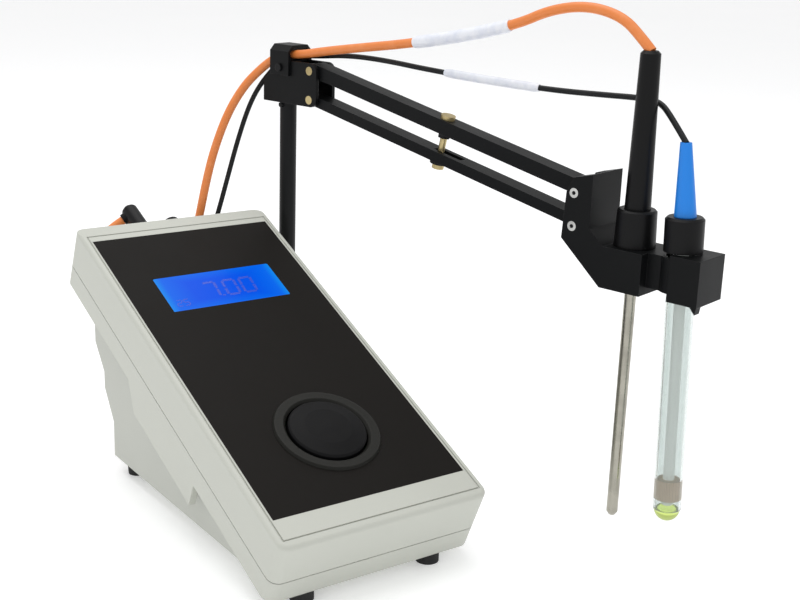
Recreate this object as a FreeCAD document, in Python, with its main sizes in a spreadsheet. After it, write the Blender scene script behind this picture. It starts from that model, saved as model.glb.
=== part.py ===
"""Benchtop pH meter with a swing arm, an electrode holder and two probes.

The case leans back on a desk stand. A weighted plate under the stand carries the mast, and a
parallelogram arm on the mast keeps the electrode holder upright. Millimetres, +Z up. The
origin is on the table, under the middle of the case.
"""
import FreeCAD, Part
import math
import os
import re

import Sketcher
from FreeCAD import Placement, Rotation, Vector

doc = FreeCAD.newDocument("ph_meter")

# ---------------------------------------------------------------- driving dimensions
SIZES = [
    # case, in its own leaning frame: across, up the slope, and out of the top face
    ("case_tilt", 22.9),          # slope of the top face, degrees
    ("front_edge_y", -66.0),      # front edge of the overlay, in plan
    ("front_edge_z", 38.8),       # and its height over the table
    ("case_width", 100.0),
    ("case_length", 213.0),
    ("front_margin", 15.0),       # top face in front of the overlay
    ("lid_depth", 20.0),
    ("tray_depth", 10.9),
    ("seam_gap", 0.4),
    ("case_wall", 3.0),
    ("corner_round", 5.0),
    ("top_round", 2.0),
    ("rear_slope_run", 8.5),      # shallow slope behind the overlay
    ("rear_slope_drop", 2.0),
    ("rim_groove_inset", 2.6),    # fine groove round the top face
    ("rim_groove_front", 4.0),
    ("rim_groove_wide", 0.6),
    ("rim_groove_deep", 0.5),
    ("lip_thickness", 1.4),
    ("lip_height", 2.5),
    ("lip_clearance", 0.2),
    ("boss_radius", 3.6),
    ("boss_x", 40.5),
    ("boss_front_t", -6.0),
    ("boss_rear_t", 188.0),
    ("case_screw_radius", 1.5),
    ("screw_head_radius", 2.8),
    ("screw_head_height", 2.0),
    ("skirt_front_t", 52.0),
    ("skirt_rear_t", 123.0),
    ("skirt_drop", 11.6),
    ("skirt_thickness", 3.0),
    ("skirt_slant", 12.0),
    # overlay, display and button
    ("overlay_width", 92.0),
    ("overlay_length", 184.7),
    ("overlay_thickness", 0.8),
    ("window_width", 60.0),
    ("window_length", 24.5),
    ("window_t", 139.5),
    ("window_ledge", 2.0),
    ("display_depth", 7.0),
    ("button_t", 38.3),
    ("button_ring_outer", 23.5),
    ("button_ring_inner", 17.8),
    ("button_ring_rise", 1.4),
    ("button_radius", 17.0),
    ("button_rise", 2.0),
    ("button_crown", 1.6),
    ("button_travel", 1.5),
    ("button_skirt", 6.0),
    ("button_collar", 1.2),
    ("board_thickness", 1.6),
    ("board_width", 76.0),
    ("board_front_t", 8.0),
    ("board_rear_t", 176.0),
    ("board_drop", 15.5),         # board's upper face, below the top face
    # desk stand
    ("stand_width", 87.3),
    ("stand_wall", 2.5),
    ("stand_bottom", 7.3),
    ("stand_front_t", 6.0),
    ("stand_rear_low_y", 91.2),
    ("stand_rear_mid_y", 101.0),
    ("stand_rear_top_y", 110.8),
    ("stand_low_step_z", 24.5),
    ("stand_mid_base_z", 39.0),
    ("stand_mid_step_z", 47.0),
    ("stand_top_base_z", 59.5),
    ("stand_boss_radius", 4.0),
    ("stand_boss_x", 37.5),
    ("stand_boss_front_t", 42.0),
    ("stand_boss_rear_t", 150.0),
    ("stand_boss_length", 14.0),
    ("foot_radius", 5.0),
    ("front_foot_x", 31.0),
    ("front_foot_y", -63.0),
    ("rear_foot_x", 36.0),
    ("rear_foot_y", 82.0),
    # weighted plate
    ("pad_radius", 6.0),
    ("pad_height", 1.2),
    ("plate_thickness", 4.0),
    ("plate_inset", 10.0),        # a pad's middle in from the plate's two edges
    ("plate_right_x", 72.0),      # the right-hand pads
    ("plate_rear_y", 117.0),      # the rear pads
    ("plate_corner", 6.0),
    ("plate_foot_hole", 7.0),
    ("plate_screw_x", 14.0),
    ("plate_screw_front_y", 22.0),
    ("plate_screw_rear_y", 66.0),
    ("plate_screw_radius", 2.0),
    ("plate_boss_height", 9.0),
    # mast
    ("mast_x", 64.5),
    ("mast_y", 113.3),
    ("mast_radius", 4.25),
    ("mast_top", 180.0),
    ("collar_radius", 9.0),
    ("collar_height", 14.0),
    ("collar_screw_radius", 2.0),
    ("stop_pin_radius", 1.2),
    ("stop_pin_length", 11.5),
    # arm, in its own frame: along from the mast, across, and up
    ("arm_azimuth", -76.0),
    ("block_rear", -11.0),
    ("block_front", 25.9),
    ("block_width", 13.4),
    ("block_bottom", 169.3),
    ("block_top", 190.6),
    ("block_chamfer", 11.0),
    ("block_corner", 4.0),
    ("block_slot_rear", 8.0),
    ("running_gap", 0.05),
    ("side_gap", 0.3),
    ("arm_width", 9.0),
    ("pin_along", 20.9),
    ("upper_pin_z", 186.9),
    ("pin_spacing", 14.2),
    ("arm_reach", 161.3),
    ("arm_drop", 33.7),
    ("pin_radius", 1.5),
    ("pin_head_radius", 2.1),
    ("pin_head_deep", 1.2),
    ("upper_arm_over", 3.6),
    ("upper_arm_under", 2.9),
    ("lower_arm_over", 2.3),
    ("lower_arm_under", 2.6),
    ("arm_edge", 0.8),
    ("tension_along", 84.0),      # tension screw, along the arm from the upper pin
    ("tension_radius", 1.6),
    ("tension_head_radius", 3.4),
    ("tension_head_height", 1.8),
    ("tension_slot", 16.0),       # the screw's travel along the lower arm
    ("tension_shift", 2.2),
    ("tension_nut_radius", 3.0),
    ("tension_nut_height", 2.4),
    ("tension_washer_radius", 4.2),
    ("tension_washer_height", 1.0),
    # clip for the leads on the pivot block
    ("clip_rear", -5.0),
    ("clip_wide", 13.0),
    ("clip_high", 7.4),
    ("clip_thick", 1.5),
    ("clip_screw_radius", 1.0),
    # electrode holder, along from the arm's far pins
    ("head_half", 11.5),
    ("head_rear", -4.9),
    ("head_slot_front", 6.4),
    ("head_slot_floor", 129.6),
    ("head_tower_front", 8.8),
    ("head_tower_top", 162.2),
    ("head_deck", 133.2),
    ("head_bottom", 115.4),
    ("head_body_front", 34.8),
    ("head_gusset", 7.0),
    ("neck_half", 6.5),
    ("neck_bottom", 118.5),
    ("ring_radius", 8.8),
    ("jaw_rear", 46.8),
    ("jaw_front", 60.6),
    ("jaw_half", 10.2),
    ("jaw_bottom", 115.7),
    ("jaw_top", 134.9),
    ("jaw_nose", 2.9),
    # temperature probe
    ("probe_along", 24.3),
    ("bush_radius", 8.3),
    ("bush_top", 149.0),
    ("bush_socket", 4.0),
    ("rod_radius", 2.5),
    ("rod_tip", 10.5),
    ("handle_bottom_radius", 5.5),
    ("handle_top_radius", 4.2),
    ("handle_top", 213.8),
    ("handle_round", 1.2),
    # electrode
    ("electrode_along", 47.0),
    ("electrode_lean", 2.0),       # it hangs loose in its hole and leans towards the mast
    ("electrode_hole_play", 0.75),
    ("tube_radius", 6.0),
    ("tube_wall", 1.0),
    ("tube_bottom", 22.0),
    ("cap_radius", 8.1),
    ("cap_top", 149.2),
    ("cap_chamfer", 1.0),
    ("relief_bottom_radius", 4.6),
    ("relief_top_radius", 2.4),
    ("relief_top", 179.1),
    ("relief_sweep", 1.7),        # how far its lead pulls it over
    ("stem_radius", 2.4),
    ("stem_bottom", 24.0),
    ("band_bottom", 26.5),
    ("band_height", 9.0),
    ("bulb_radius", 5.6),
    # rear connectors: across, and below the top face
    ("temp_socket_x", -12.5),
    ("temp_socket_n", -8.8),
    ("electrode_socket_x", 6.0),
    ("electrode_socket_n", -12.4),
    ("power_socket_x", 28.0),
    ("power_socket_n", -11.0),
    ("socket_radius", 4.8),
    ("socket_flange_radius", 5.8),
    ("socket_flange", 1.2),
    ("socket_barrel", 6.0),
    ("power_bore_radius", 3.0),
    ("temp_plug_radius", 4.0),
    ("temp_plug_length", 20.0),
    ("temp_plug_exit_t", 15.0),
    ("temp_plug_boot", 1.2),
    ("temp_plug_droop", 35.0),    # how far below level the lead leaves
    ("electrode_plug_radius", 4.8),
    ("electrode_plug_length", 9.0),
    ("electrode_plug_exit_t", 4.6),
    ("electrode_plug_boot", 7.0),
    ("electrode_plug_droop", 78.0),
    # leads
    ("temp_lead_radius", 2.15),
    ("electrode_lead_radius", 1.25),
    ("label_skin", 0.7),
]
NAMES = {name for name, _ in SIZES}

sheet = doc.addObject("Spreadsheet::Sheet", "Sizes")
for row, (name, value) in enumerate(SIZES, 1):
    sheet.set(f"A{row}", name.replace("_", " "))
    sheet.set(f"B{row}", str(value))
    sheet.setAlias(f"B{row}", name)
doc.recompute()


def size(name):
    """A driving dimension as a number."""
    return float(sheet.get(name))


def formula(text):
    """The same expression with every size's name pointing at its cell."""
    return re.sub(r"[a-z_]+", lambda w: f"Sizes.{w.group()}" if w.group() in NAMES else w.group(), str(text))


# ---------------------------------------------------------------- builders
def bind(thing, **fields):
    """Ties properties of an object to expressions in the sizes."""
    for field, text in fields.items():
        thing.setExpression(field.replace("__", "."), formula(text))
    return thing


def at(thing, x="0", y="0", z="0"):
    """Ties an object's place to expressions."""
    return bind(thing, Placement__Base__x=x, Placement__Base__y=y, Placement__Base__z=z)


def new_body(label):
    made = doc.addObject("PartDesign::Body", label)
    made.Label = label
    return made


def sketch_on(owner, plane, offset):
    """An empty sketch on one of the body's own planes, moved along that plane's normal."""
    sketch = owner.newObject("Sketcher::SketchObject", f"{owner.Name}_sketch")
    planes = {found.Role: found for found in owner.Origin.OriginFeatures}
    sketch.AttachmentSupport = [(planes[f"{plane}_Plane"], "")]
    sketch.MapMode = "FlatFace"
    sketch.setExpression("AttachmentOffset.Base.z", formula(offset))
    return sketch


def fix_point(sketch, geometry, end, x, y):
    """Holds a point of the sketch at two expressions, measured from the sketch's origin."""
    for kind, text in (("DistanceX", x), ("DistanceY", y)):
        number = sketch.addConstraint(Sketcher.Constraint(kind, -1, 1, geometry, end, 1.0))
        sketch.setExpression(f"Constraints[{number}]", formula(text))


def outline(owner, plane, *loops, offset="0"):
    """A sketch of closed loops of straight lines, each a list of (x, y) expressions."""
    sketch = sketch_on(owner, plane, offset)
    for corners in loops:
        first = sketch.GeometryCount
        count = len(corners)
        turn = [2 * math.pi * i / count for i in range(count + 1)]
        spot = [Vector(10 * math.cos(a), 10 * math.sin(a), 0) for a in turn]
        for i in range(count):
            sketch.addGeometry(Part.LineSegment(spot[i], spot[i + 1]), False)
        for i, (x, y) in enumerate(corners):
            following = first + (i + 1) % count
            sketch.addConstraint(Sketcher.Constraint("Coincident", first + i, 2, following, 1))
            fix_point(sketch, first + i, 1, x, y)
    return sketch


def rectangle(left, low, right, high):
    return [(left, low), (right, low), (right, high), (left, high)]


def discs(owner, plane, spots, offset="0"):
    """A sketch of circles, each (x, y, radius) in expressions."""
    sketch = sketch_on(owner, plane, offset)
    for number, (x, y, radius) in enumerate(spots):
        sketch.addGeometry(Part.Circle(Vector(10 * number, 0, 0), Vector(0, 0, 1), 1), False)
        held = sketch.addConstraint(Sketcher.Constraint("Radius", number, 1.0))
        sketch.setExpression(f"Constraints[{held}]", formula(radius))
        fix_point(sketch, number, 3, x, y)
    return sketch


def pad(owner, sketch, length, both_ways=False, backwards=False):
    made = owner.newObject("PartDesign::Pad", f"{owner.Name}_pad")
    made.Profile = sketch
    bind(made, Length=length)
    made.SideType = "Symmetric" if both_ways else "One side"
    made.Reversed = backwards
    doc.recompute()
    return made


def pocket(owner, sketch, depth):
    """A cut of the given depth, half to each side of the sketch's plane, that must take something away."""
    before = owner.Shape.Volume
    made = owner.newObject("PartDesign::Pocket", f"{owner.Name}_pocket")
    made.Profile = sketch
    bind(made, Length=depth)
    made.SideType = "Symmetric"
    doc.recompute()
    if not owner.Shape.Volume < before:
        raise RuntimeError(f"{made.Name} cuts nothing")
    return made


def edges_where(shape, test):
    """Names of the edges whose box passes a test."""
    return [f"Edge{i}" for i, edge in enumerate(shape.Edges, 1) if test(edge, edge.BoundBox)]


def fillet(owner, radius, test):
    last = owner.Tip
    names = edges_where(last.Shape, test)
    made = owner.newObject("PartDesign::Fillet", f"{owner.Name}_fillet")
    made.Base = (last, names)
    bind(made, Radius=radius)
    doc.recompute()
    return made


def along_z(edge, box):
    return box.XLength < 1e-6 and box.YLength < 1e-6


def turned(label, profile):
    """A body turned about its own vertical axis from (radius, height) corners."""
    owner = new_body(label)
    sketch = outline(owner, "XZ", profile)
    made = owner.newObject("PartDesign::Revolution", f"{label}_turn")
    made.Profile = sketch
    made.ReferenceAxis = (sketch, ["V_Axis"])
    made.Angle = 360
    return owner


def cylinder(label, radius, height):
    made = doc.addObject("Part::Cylinder", label)
    made.Label = label
    return bind(made, Radius=radius, Height=height)


def box(label, length, width, height):
    made = doc.addObject("Part::Box", label)
    made.Label = label
    return bind(made, Length=length, Width=width, Height=height)


def fuse(label, *pieces):
    made = doc.addObject("Part::MultiFuse", label)
    made.Label = label
    made.Shapes = list(pieces)
    return made


def cut(label, base, tool):
    made = doc.addObject("Part::Cut", label)
    made.Label = label
    made.Base = base
    made.Tool = tool
    return made


def group(label, *pieces):
    """Separate solids that share one node."""
    made = doc.addObject("Part::Compound", label)
    made.Label = label
    made.Links = list(pieces)
    return made


def lying(thing, axis, degrees=90):
    """Turns a piece about an axis through its own origin."""
    thing.Placement = Placement(Vector(), Rotation(Vector(*axis), degrees))
    return thing


# ---------------------------------------------------------------- frames
REAR = "(case_length - front_margin)"
DEPTH = "(lid_depth + tray_depth)"
SIDE = "case_width/2"
# a frame is (x, y, z, turning axis, angle); a piece is set into each frame of its list in turn
CASE = [("0", "front_edge_y", "front_edge_z", (1, 0, 0), "case_tilt * 1 deg")]
ARM = [("mast_x", "mast_y", "0", (0, 0, 1), "arm_azimuth * 1 deg")]
UPPER_ARM = [("pin_along", "0", "upper_pin_z", (0, 1, 0), "atan2(arm_drop; arm_reach)")] + ARM
LOWER_ARM = [("pin_along", "0", "upper_pin_z - pin_spacing", (0, 1, 0), "atan2(arm_drop; arm_reach)")] + ARM
HEAD = [("pin_along + arm_reach", "0", "0", (0, 0, 1), "0 deg")] + ARM
CAP_SEAT = "(jaw_top + running_gap + cap_radius*sin(electrode_lean * 1 deg))"
ELECTRODE = [("electrode_along", "0", CAP_SEAT, (0, 1, 0), "-electrode_lean * 1 deg")] + HEAD
nodes = []


def framed(thing, frames):
    """The piece inside a group for each frame it is set into."""
    label = thing.Label
    for x, y, z, axis, angle in frames:
        thing.Label = f"{thing.Label}_inner"
        thing = group(label, thing)
        thing.Placement = Placement(Vector(), Rotation(Vector(*axis), 1))
        at(thing, x, y, z)
        bind(thing, Placement__Rotation__Angle=angle)
    return thing


def node(thing, frames=()):
    """Adds a finished piece to the part, set into its frames."""
    nodes.append(framed(thing, frames))


def rear_frames(x, n):
    """Frames for a piece whose own Z points straight out of the case's rear wall."""
    return [(x, REAR, n, (-1, 0, 0), "90 deg")] + CASE


BOSSES = [(x, t) for x in ("boss_x", "-boss_x") for t in ("boss_front_t", "boss_rear_t")]
STAND_BOSSES = [
    (x, t) for x in ("stand_boss_x", "-stand_boss_x") for t in ("stand_boss_front_t", "stand_boss_rear_t")
]
SOCKETS = [
    ("temp_socket_x", "temp_socket_n"),
    ("electrode_socket_x", "electrode_socket_n"),
    ("power_socket_x", "power_socket_n"),
]


def slab_rectangle(inset):
    """The case's outline in plan, drawn in by an inset."""
    return rectangle(
        f"-{SIDE} + {inset}", f"-front_margin + {inset}", f"{SIDE} - ({inset})", f"{REAR} - ({inset})"
    )


# ---------------------------------------------------------------- case
def make_lid():
    lid = new_body("upper_shell")
    pad(lid, outline(lid, "XY", slab_rectangle("0"), offset="-lid_depth"), "lid_depth")
    fillet(lid, "corner_round", along_z)

    def on_rim(edge, box):
        return box.ZMin > -1e-6

    fillet(lid, "top_round", on_rim)
    slope = [
        (f"{REAR} - rear_slope_run", "0"),
        (f"{REAR} + rear_slope_run", "0"),
        (f"{REAR} + rear_slope_run", "-2*rear_slope_drop"),
    ]
    pocket(lid, outline(lid, "YZ", slope), "2*case_width")
    hollow = outline(lid, "XY", slab_rectangle("case_wall"), offset="-lid_depth")
    pocket(lid, hollow, "2*(lid_depth - case_wall)")
    seat = rectangle("-overlay_width/2", "0", "overlay_width/2", "overlay_length")
    pocket(lid, outline(lid, "XY", seat), "2*overlay_thickness")
    groove = []
    for inset in ("0", "rim_groove_wide"):
        groove.append(rectangle(
            f"-{SIDE} + rim_groove_inset + {inset}",
            f"-front_margin + rim_groove_front + {inset}",
            f"{SIDE} - rim_groove_inset - {inset}",
            f"{REAR} - rear_slope_run - rim_groove_wide - {inset}",
        ))
    pocket(lid, outline(lid, "XY", *groove), "2*rim_groove_deep")
    opening = rectangle(
        "-window_width/2 - window_ledge", "window_t - window_length/2 - window_ledge",
        "window_width/2 + window_ledge", "window_t + window_length/2 + window_ledge",
    )
    pocket(lid, outline(lid, "XY", opening), "2*case_wall + 2")
    button_hole = discs(lid, "XY", [("0", "button_t", "button_ring_inner + 1.6")])
    pocket(lid, button_hole, "2*case_wall + 2")
    holes = [(x, n, "socket_radius") for x, n in SOCKETS]
    pocket(lid, discs(lid, "XZ", holes, offset=f"-{REAR} + case_wall/2"), "2*case_wall")
    columns = discs(lid, "XY", [(x, t, "boss_radius") for x, t in BOSSES], offset="-lid_depth")
    pad(lid, columns, "lid_depth - overlay_thickness - 1")
    pilots = discs(lid, "XY", [(x, t, "case_screw_radius") for x, t in BOSSES], offset="-lid_depth")
    pocket(lid, pilots, "2*(lid_depth - case_wall - 2)")
    node(lid, CASE)


def make_tray():
    tray = new_body("lower_tray")
    height = "(tray_depth - seam_gap)"
    pad(tray, outline(tray, "XY", slab_rectangle("0"), offset=f"-{DEPTH}"), height)
    rear_chamfer = [
        (f"{REAR} - case_wall", f"-{DEPTH}"),
        (f"{REAR} + case_wall", f"-{DEPTH} + 2*case_wall"),
        (f"{REAR} + case_wall", f"-{DEPTH}"),
    ]
    pocket(tray, outline(tray, "YZ", rear_chamfer), "2*case_width")
    fillet(tray, "corner_round", along_z)
    inside = "case_wall + lip_clearance + lip_thickness"
    hollow = outline(tray, "XY", slab_rectangle(inside), offset=f"-{DEPTH} + case_wall + tray_depth")
    pocket(tray, hollow, "2*tray_depth")
    lip = outline(
        tray, "XY", slab_rectangle("case_wall + lip_clearance"), slab_rectangle(inside),
        offset="-lid_depth - 2*seam_gap",
    )
    pad(tray, lip, "lip_height + 2*seam_gap")
    for side in (1, -1):
        skirt = [
            ("skirt_front_t", f"-{DEPTH} + 1"),
            ("skirt_front_t", f"-{DEPTH} - skirt_drop"),
            ("skirt_rear_t - skirt_slant", f"-{DEPTH} - skirt_drop"),
            ("skirt_rear_t", f"-{DEPTH} + 1"),
        ]
        start = f"{SIDE} - skirt_thickness" if side > 0 else f"-{SIDE}"
        pad(tray, outline(tray, "YZ", skirt, offset=start), "skirt_thickness")
    columns = discs(tray, "XY", [(x, t, "boss_radius") for x, t in BOSSES], offset=f"-{DEPTH}")
    pad(tray, columns, "tray_depth - 0.1")
    bores = [(x, t, "case_screw_radius") for x, t in BOSSES]
    pocket(tray, discs(tray, "XY", bores, offset=f"-{DEPTH}"), "3*tray_depth")
    heads = [(x, t, "screw_head_radius") for x, t in BOSSES]
    pocket(tray, discs(tray, "XY", heads, offset=f"-{DEPTH}"), "2*screw_head_height + 0.4")
    stand_bores = [(x, t, "case_screw_radius") for x, t in STAND_BOSSES]
    pocket(tray, discs(tray, "XY", stand_bores, offset=f"-{DEPTH}"), "3*case_wall")
    node(tray, CASE)


def screw(label, length, head_below=True):
    """A pan-head screw whose shank runs up from its head, or down from it."""
    head = cylinder(f"{label}_head", "screw_head_radius", "screw_head_height")
    shank = cylinder(f"{label}_shank", "case_screw_radius", length)
    if head_below:
        bind(shank, Placement__Base__z="screw_head_height")
    else:
        bind(shank, Placement__Base__z=f"-({length})")
    return fuse(label, head, shank)


def make_case_screws():
    made = []
    for number, (x, t) in enumerate(BOSSES, 1):
        part = screw(f"case_screw_{number}", "tray_depth + lid_depth - case_wall - screw_head_height - 6")
        made.append(at(part, x, t, f"-{DEPTH}"))
    node(group("case_screws", *made), CASE)


def make_stand_screws():
    made = []
    for number, (x, t) in enumerate(STAND_BOSSES, 1):
        part = screw(f"stand_screw_{number}", "case_wall + stand_boss_length - 4", head_below=False)
        made.append(at(part, x, t, f"-{DEPTH} + case_wall"))
    node(group("stand_screws", *made), CASE)


def make_overlay():
    sheet_body = new_body("front_overlay")
    edge = rectangle("-overlay_width/2", "0", "overlay_width/2", "overlay_length")
    window = rectangle(
        "-window_width/2", "window_t - window_length/2", "window_width/2", "window_t + window_length/2"
    )
    pad(sheet_body, outline(sheet_body, "XY", edge, window, offset="-overlay_thickness"), "overlay_thickness")
    hole = discs(sheet_body, "XY", [("0", "button_t", "button_ring_inner + 1.6")])
    pocket(sheet_body, hole, "4*overlay_thickness")
    return node(sheet_body, CASE)


def make_display():
    window = box("display_window", "window_width", "window_length", "overlay_thickness")
    at(window, "-window_width/2", "window_t - window_length/2", "-overlay_thickness")
    node(window, CASE)
    module = box(
        "display_module", "window_width + 2*window_ledge - 0.4", "window_length + 2*window_ledge - 0.4",
        "display_depth",
    )
    at(
        module, "-window_width/2 - window_ledge + 0.2", "window_t - window_length/2 - window_ledge + 0.2",
        "-overlay_thickness - display_depth",
    )
    node(module, CASE)


def make_board():
    board = new_body("main_board")
    edge = rectangle("-board_width/2", "board_front_t", "board_width/2", "board_rear_t")
    pad(board, outline(board, "XY", edge, offset="-board_drop - board_thickness"), "board_thickness")
    node(board, CASE)
    # posts carry the board off the tray's floor
    posts = []
    sides = ("board_width/2 - 5", "-board_width/2 + 5")
    corners = [(x, t) for x in sides for t in ("board_front_t + 5", "board_rear_t - 5")]
    height = f"{DEPTH} - case_wall - board_drop - board_thickness"
    for number, (x, t) in enumerate(corners, 1):
        post = cylinder(f"board_post_{number}", "boss_radius", height)
        posts.append(at(post, x, t, f"-{DEPTH} + case_wall"))
    node(group("board_posts", *posts), CASE)
    riser = box(
        "display_riser", "window_width - 6", "window_length - 6",
        "board_drop - overlay_thickness - display_depth",
    )
    at(riser, "-window_width/2 + 3", "window_t - window_length/2 + 3", "-board_drop")
    node(riser, CASE)


def make_button():
    ring = turned("button_ring", [
        ("button_ring_inner", "-case_wall"),
        ("button_ring_inner + 1.6", "-case_wall"),
        ("button_ring_inner + 1.6", "0"),
        ("button_ring_outer", "0"),
        ("button_ring_outer - 0.8", "button_ring_rise"),
        ("button_ring_inner + 1.2", "button_ring_rise"),
        ("button_ring_inner", "0.2"),
    ])
    at(ring, "0", "button_t", "0")
    node(ring, CASE)
    cap = turned("button_cap", [
        ("0", "-button_skirt"),
        ("button_radius", "-button_skirt"),
        ("button_radius", "button_rise - 0.8"),
        ("button_radius - 0.8", "button_rise"),
        ("0.6*button_radius", "button_rise + 0.7*button_crown"),
        ("0", "button_rise + button_crown"),
    ])
    at(cap, "0", "button_t", "0")
    node(cap, CASE)
    spring = turned("button_spring", [
        ("4", "-board_drop + 0.2"),
        ("5", "-board_drop + 0.2"),
        ("5", "-button_skirt - 0.1"),
        ("4", "-button_skirt - 0.1"),
    ])
    at(spring, "0", "button_t", "0")
    node(spring, CASE)
    switch = turned("button_switch", [
        ("0", "-board_drop"),
        ("3", "-board_drop"),
        ("3", "-board_drop + 3.5"),
        ("1.7", "-board_drop + 3.5"),
        ("1.7", "-button_skirt - button_travel - 0.4"),
        ("0", "-button_skirt - button_travel - 0.4"),
    ])
    at(switch, "0", "button_t", "0")
    node(switch, CASE)


# ---------------------------------------------------------------- desk stand and feet
def under_y(t):
    return f"(front_edge_y + ({t})*cos(case_tilt) + {DEPTH}*sin(case_tilt))"


def under_z(t):
    return f"(front_edge_z + ({t})*sin(case_tilt) - {DEPTH}*cos(case_tilt))"


def under_z_at(y):
    """Height of the case's underside over a place in plan."""
    along = f"(({y}) - front_edge_y - {DEPTH}*sin(case_tilt))/cos(case_tilt)"
    return under_z(along)


def stand_profile(inset, over):
    """Side outline of the stand, drawn in by an inset, its top raised over the case's underside."""
    front = f"{under_y('stand_front_t')} + {inset}"
    top_y = f"stand_rear_top_y - {inset}"
    return [
        (front, f"stand_bottom + {inset}"),
        (f"stand_rear_low_y - {inset}", f"stand_bottom + {inset}"),
        (f"stand_rear_low_y - {inset}", f"stand_low_step_z + 0.5*{inset}"),
        (f"stand_rear_mid_y - {inset}", f"stand_mid_base_z + 0.5*{inset}"),
        (f"stand_rear_mid_y - {inset}", f"stand_mid_step_z + 0.5*{inset}"),
        (top_y, f"stand_top_base_z + 0.5*{inset}"),
        (top_y, f"{under_z_at(top_y)} + {over}"),
        (front, f"{under_z_at(front)} + {over}"),
    ]


def make_stand():
    shell = new_body("stand_shell")
    pad(shell, outline(shell, "YZ", stand_profile("0", "0")), "stand_width", both_ways=True)
    hollow = outline(shell, "YZ", stand_profile("stand_wall", "stand_wall"))
    pocket(shell, hollow, "stand_width - 2*stand_wall")
    bosses = []
    holes = []
    for number, (x, t) in enumerate(STAND_BOSSES, 1):
        boss = cylinder(f"stand_boss_{number}", "stand_boss_radius", "stand_boss_length")
        bosses.append(at(boss, x, t, f"-{DEPTH} - stand_boss_length"))
        hole = cylinder(f"stand_hole_{number}", "case_screw_radius", "stand_boss_length - 4")
        holes.append(at(hole, x, t, f"-{DEPTH} - stand_boss_length + 4"))
    upper_bosses = framed(group("upper_bosses", *bosses), CASE)
    pilots = [framed(group("upper_holes", *holes), CASE)]
    feet = []
    for number, y in enumerate(("plate_screw_front_y", "plate_screw_rear_y"), 1):
        boss = cylinder(f"plate_boss_{number}", "stand_boss_radius", "plate_boss_height")
        feet.append(at(boss, "plate_screw_x", y, "stand_bottom"))
        pilot = cylinder(f"plate_pilot_{number}", "plate_screw_radius", "plate_boss_height - 1")
        pilots.append(at(pilot, "plate_screw_x", y, "stand_bottom"))
    solid = fuse("stand_solid", shell, upper_bosses, *feet)
    node(cut("desk_stand", solid, group("stand_pilots", *pilots)))


def make_feet():
    blanks = []
    for number, x in enumerate(("front_foot_x", "-front_foot_x"), 1):
        blank = cylinder(f"front_foot_{number}", "foot_radius", "front_edge_z")
        blanks.append(at(blank, x, "front_foot_y", "0"))
    above = box("case_space", "2*case_width", "2*case_length", "case_length")
    at(above, "-case_width", "-case_length/2", f"-{DEPTH}")
    node(cut("front_feet", group("front_foot_blanks", *blanks), framed(above, CASE)))
    rear = []
    for number, x in enumerate(("rear_foot_x", "-rear_foot_x"), 1):
        foot = doc.addObject("Part::Cone", f"rear_foot_{number}")
        bind(foot, Radius1="foot_radius - 0.6", Radius2="foot_radius", Height="stand_bottom")
        rear.append(at(foot, x, "rear_foot_y", "0"))
    node(group("rear_feet", *rear))


# ---------------------------------------------------------------- weighted plate and mast
PLATE_TOP = "(pad_height + plate_thickness)"
PLATE_SCREWS = [("plate_screw_x", "plate_screw_front_y"), ("plate_screw_x", "plate_screw_rear_y")]


def make_plate():
    plate = new_body("base_plate")
    edge = rectangle(
        "-plate_inset", "-plate_inset", "plate_right_x + plate_inset", "plate_rear_y + plate_inset"
    )
    pad(plate, outline(plate, "XY", edge, offset="pad_height"), "plate_thickness")
    fillet(plate, "plate_corner", along_z)
    holes = [(x, y, "plate_screw_radius") for x, y in PLATE_SCREWS]
    holes.append(("rear_foot_x", "rear_foot_y", "plate_foot_hole"))
    pocket(plate, discs(plate, "XY", holes, offset="pad_height"), "4*plate_thickness")
    heads = [(x, y, "2*plate_screw_radius") for x, y in PLATE_SCREWS]
    pocket(plate, discs(plate, "XY", heads, offset="pad_height"), "2*screw_head_height")
    node(plate)
    pads = []
    corners = [("0", "0"), ("plate_right_x", "0"), ("0", "plate_rear_y"), ("plate_right_x", "plate_rear_y")]
    for number, (x, y) in enumerate(corners, 1):
        pads.append(at(cylinder(f"base_pad_{number}", "pad_radius", "pad_height"), x, y, "0"))
    node(group("base_pads", *pads))
    screws = []
    spacers = []
    for number, (x, y) in enumerate(PLATE_SCREWS, 1):
        head = cylinder(f"base_screw_head_{number}", "2*plate_screw_radius - 0.2", "screw_head_height")
        shank = cylinder(
            f"base_screw_shank_{number}", "plate_screw_radius",
            "stand_bottom + plate_boss_height - 2 - pad_height",
        )
        at(head, x, y, "pad_height")
        at(shank, x, y, "pad_height")
        screws.append(fuse(f"base_screw_{number}", head, shank))
        spacer = turned(f"base_spacer_{number}", [
            ("plate_screw_radius", PLATE_TOP),
            ("stand_boss_radius + 1", PLATE_TOP),
            ("stand_boss_radius + 1", "stand_bottom"),
            ("plate_screw_radius", "stand_bottom"),
        ])
        spacers.append(at(spacer, x, y, "0"))
    node(group("base_screws", *screws))
    node(group("base_spacers", *spacers))


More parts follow.
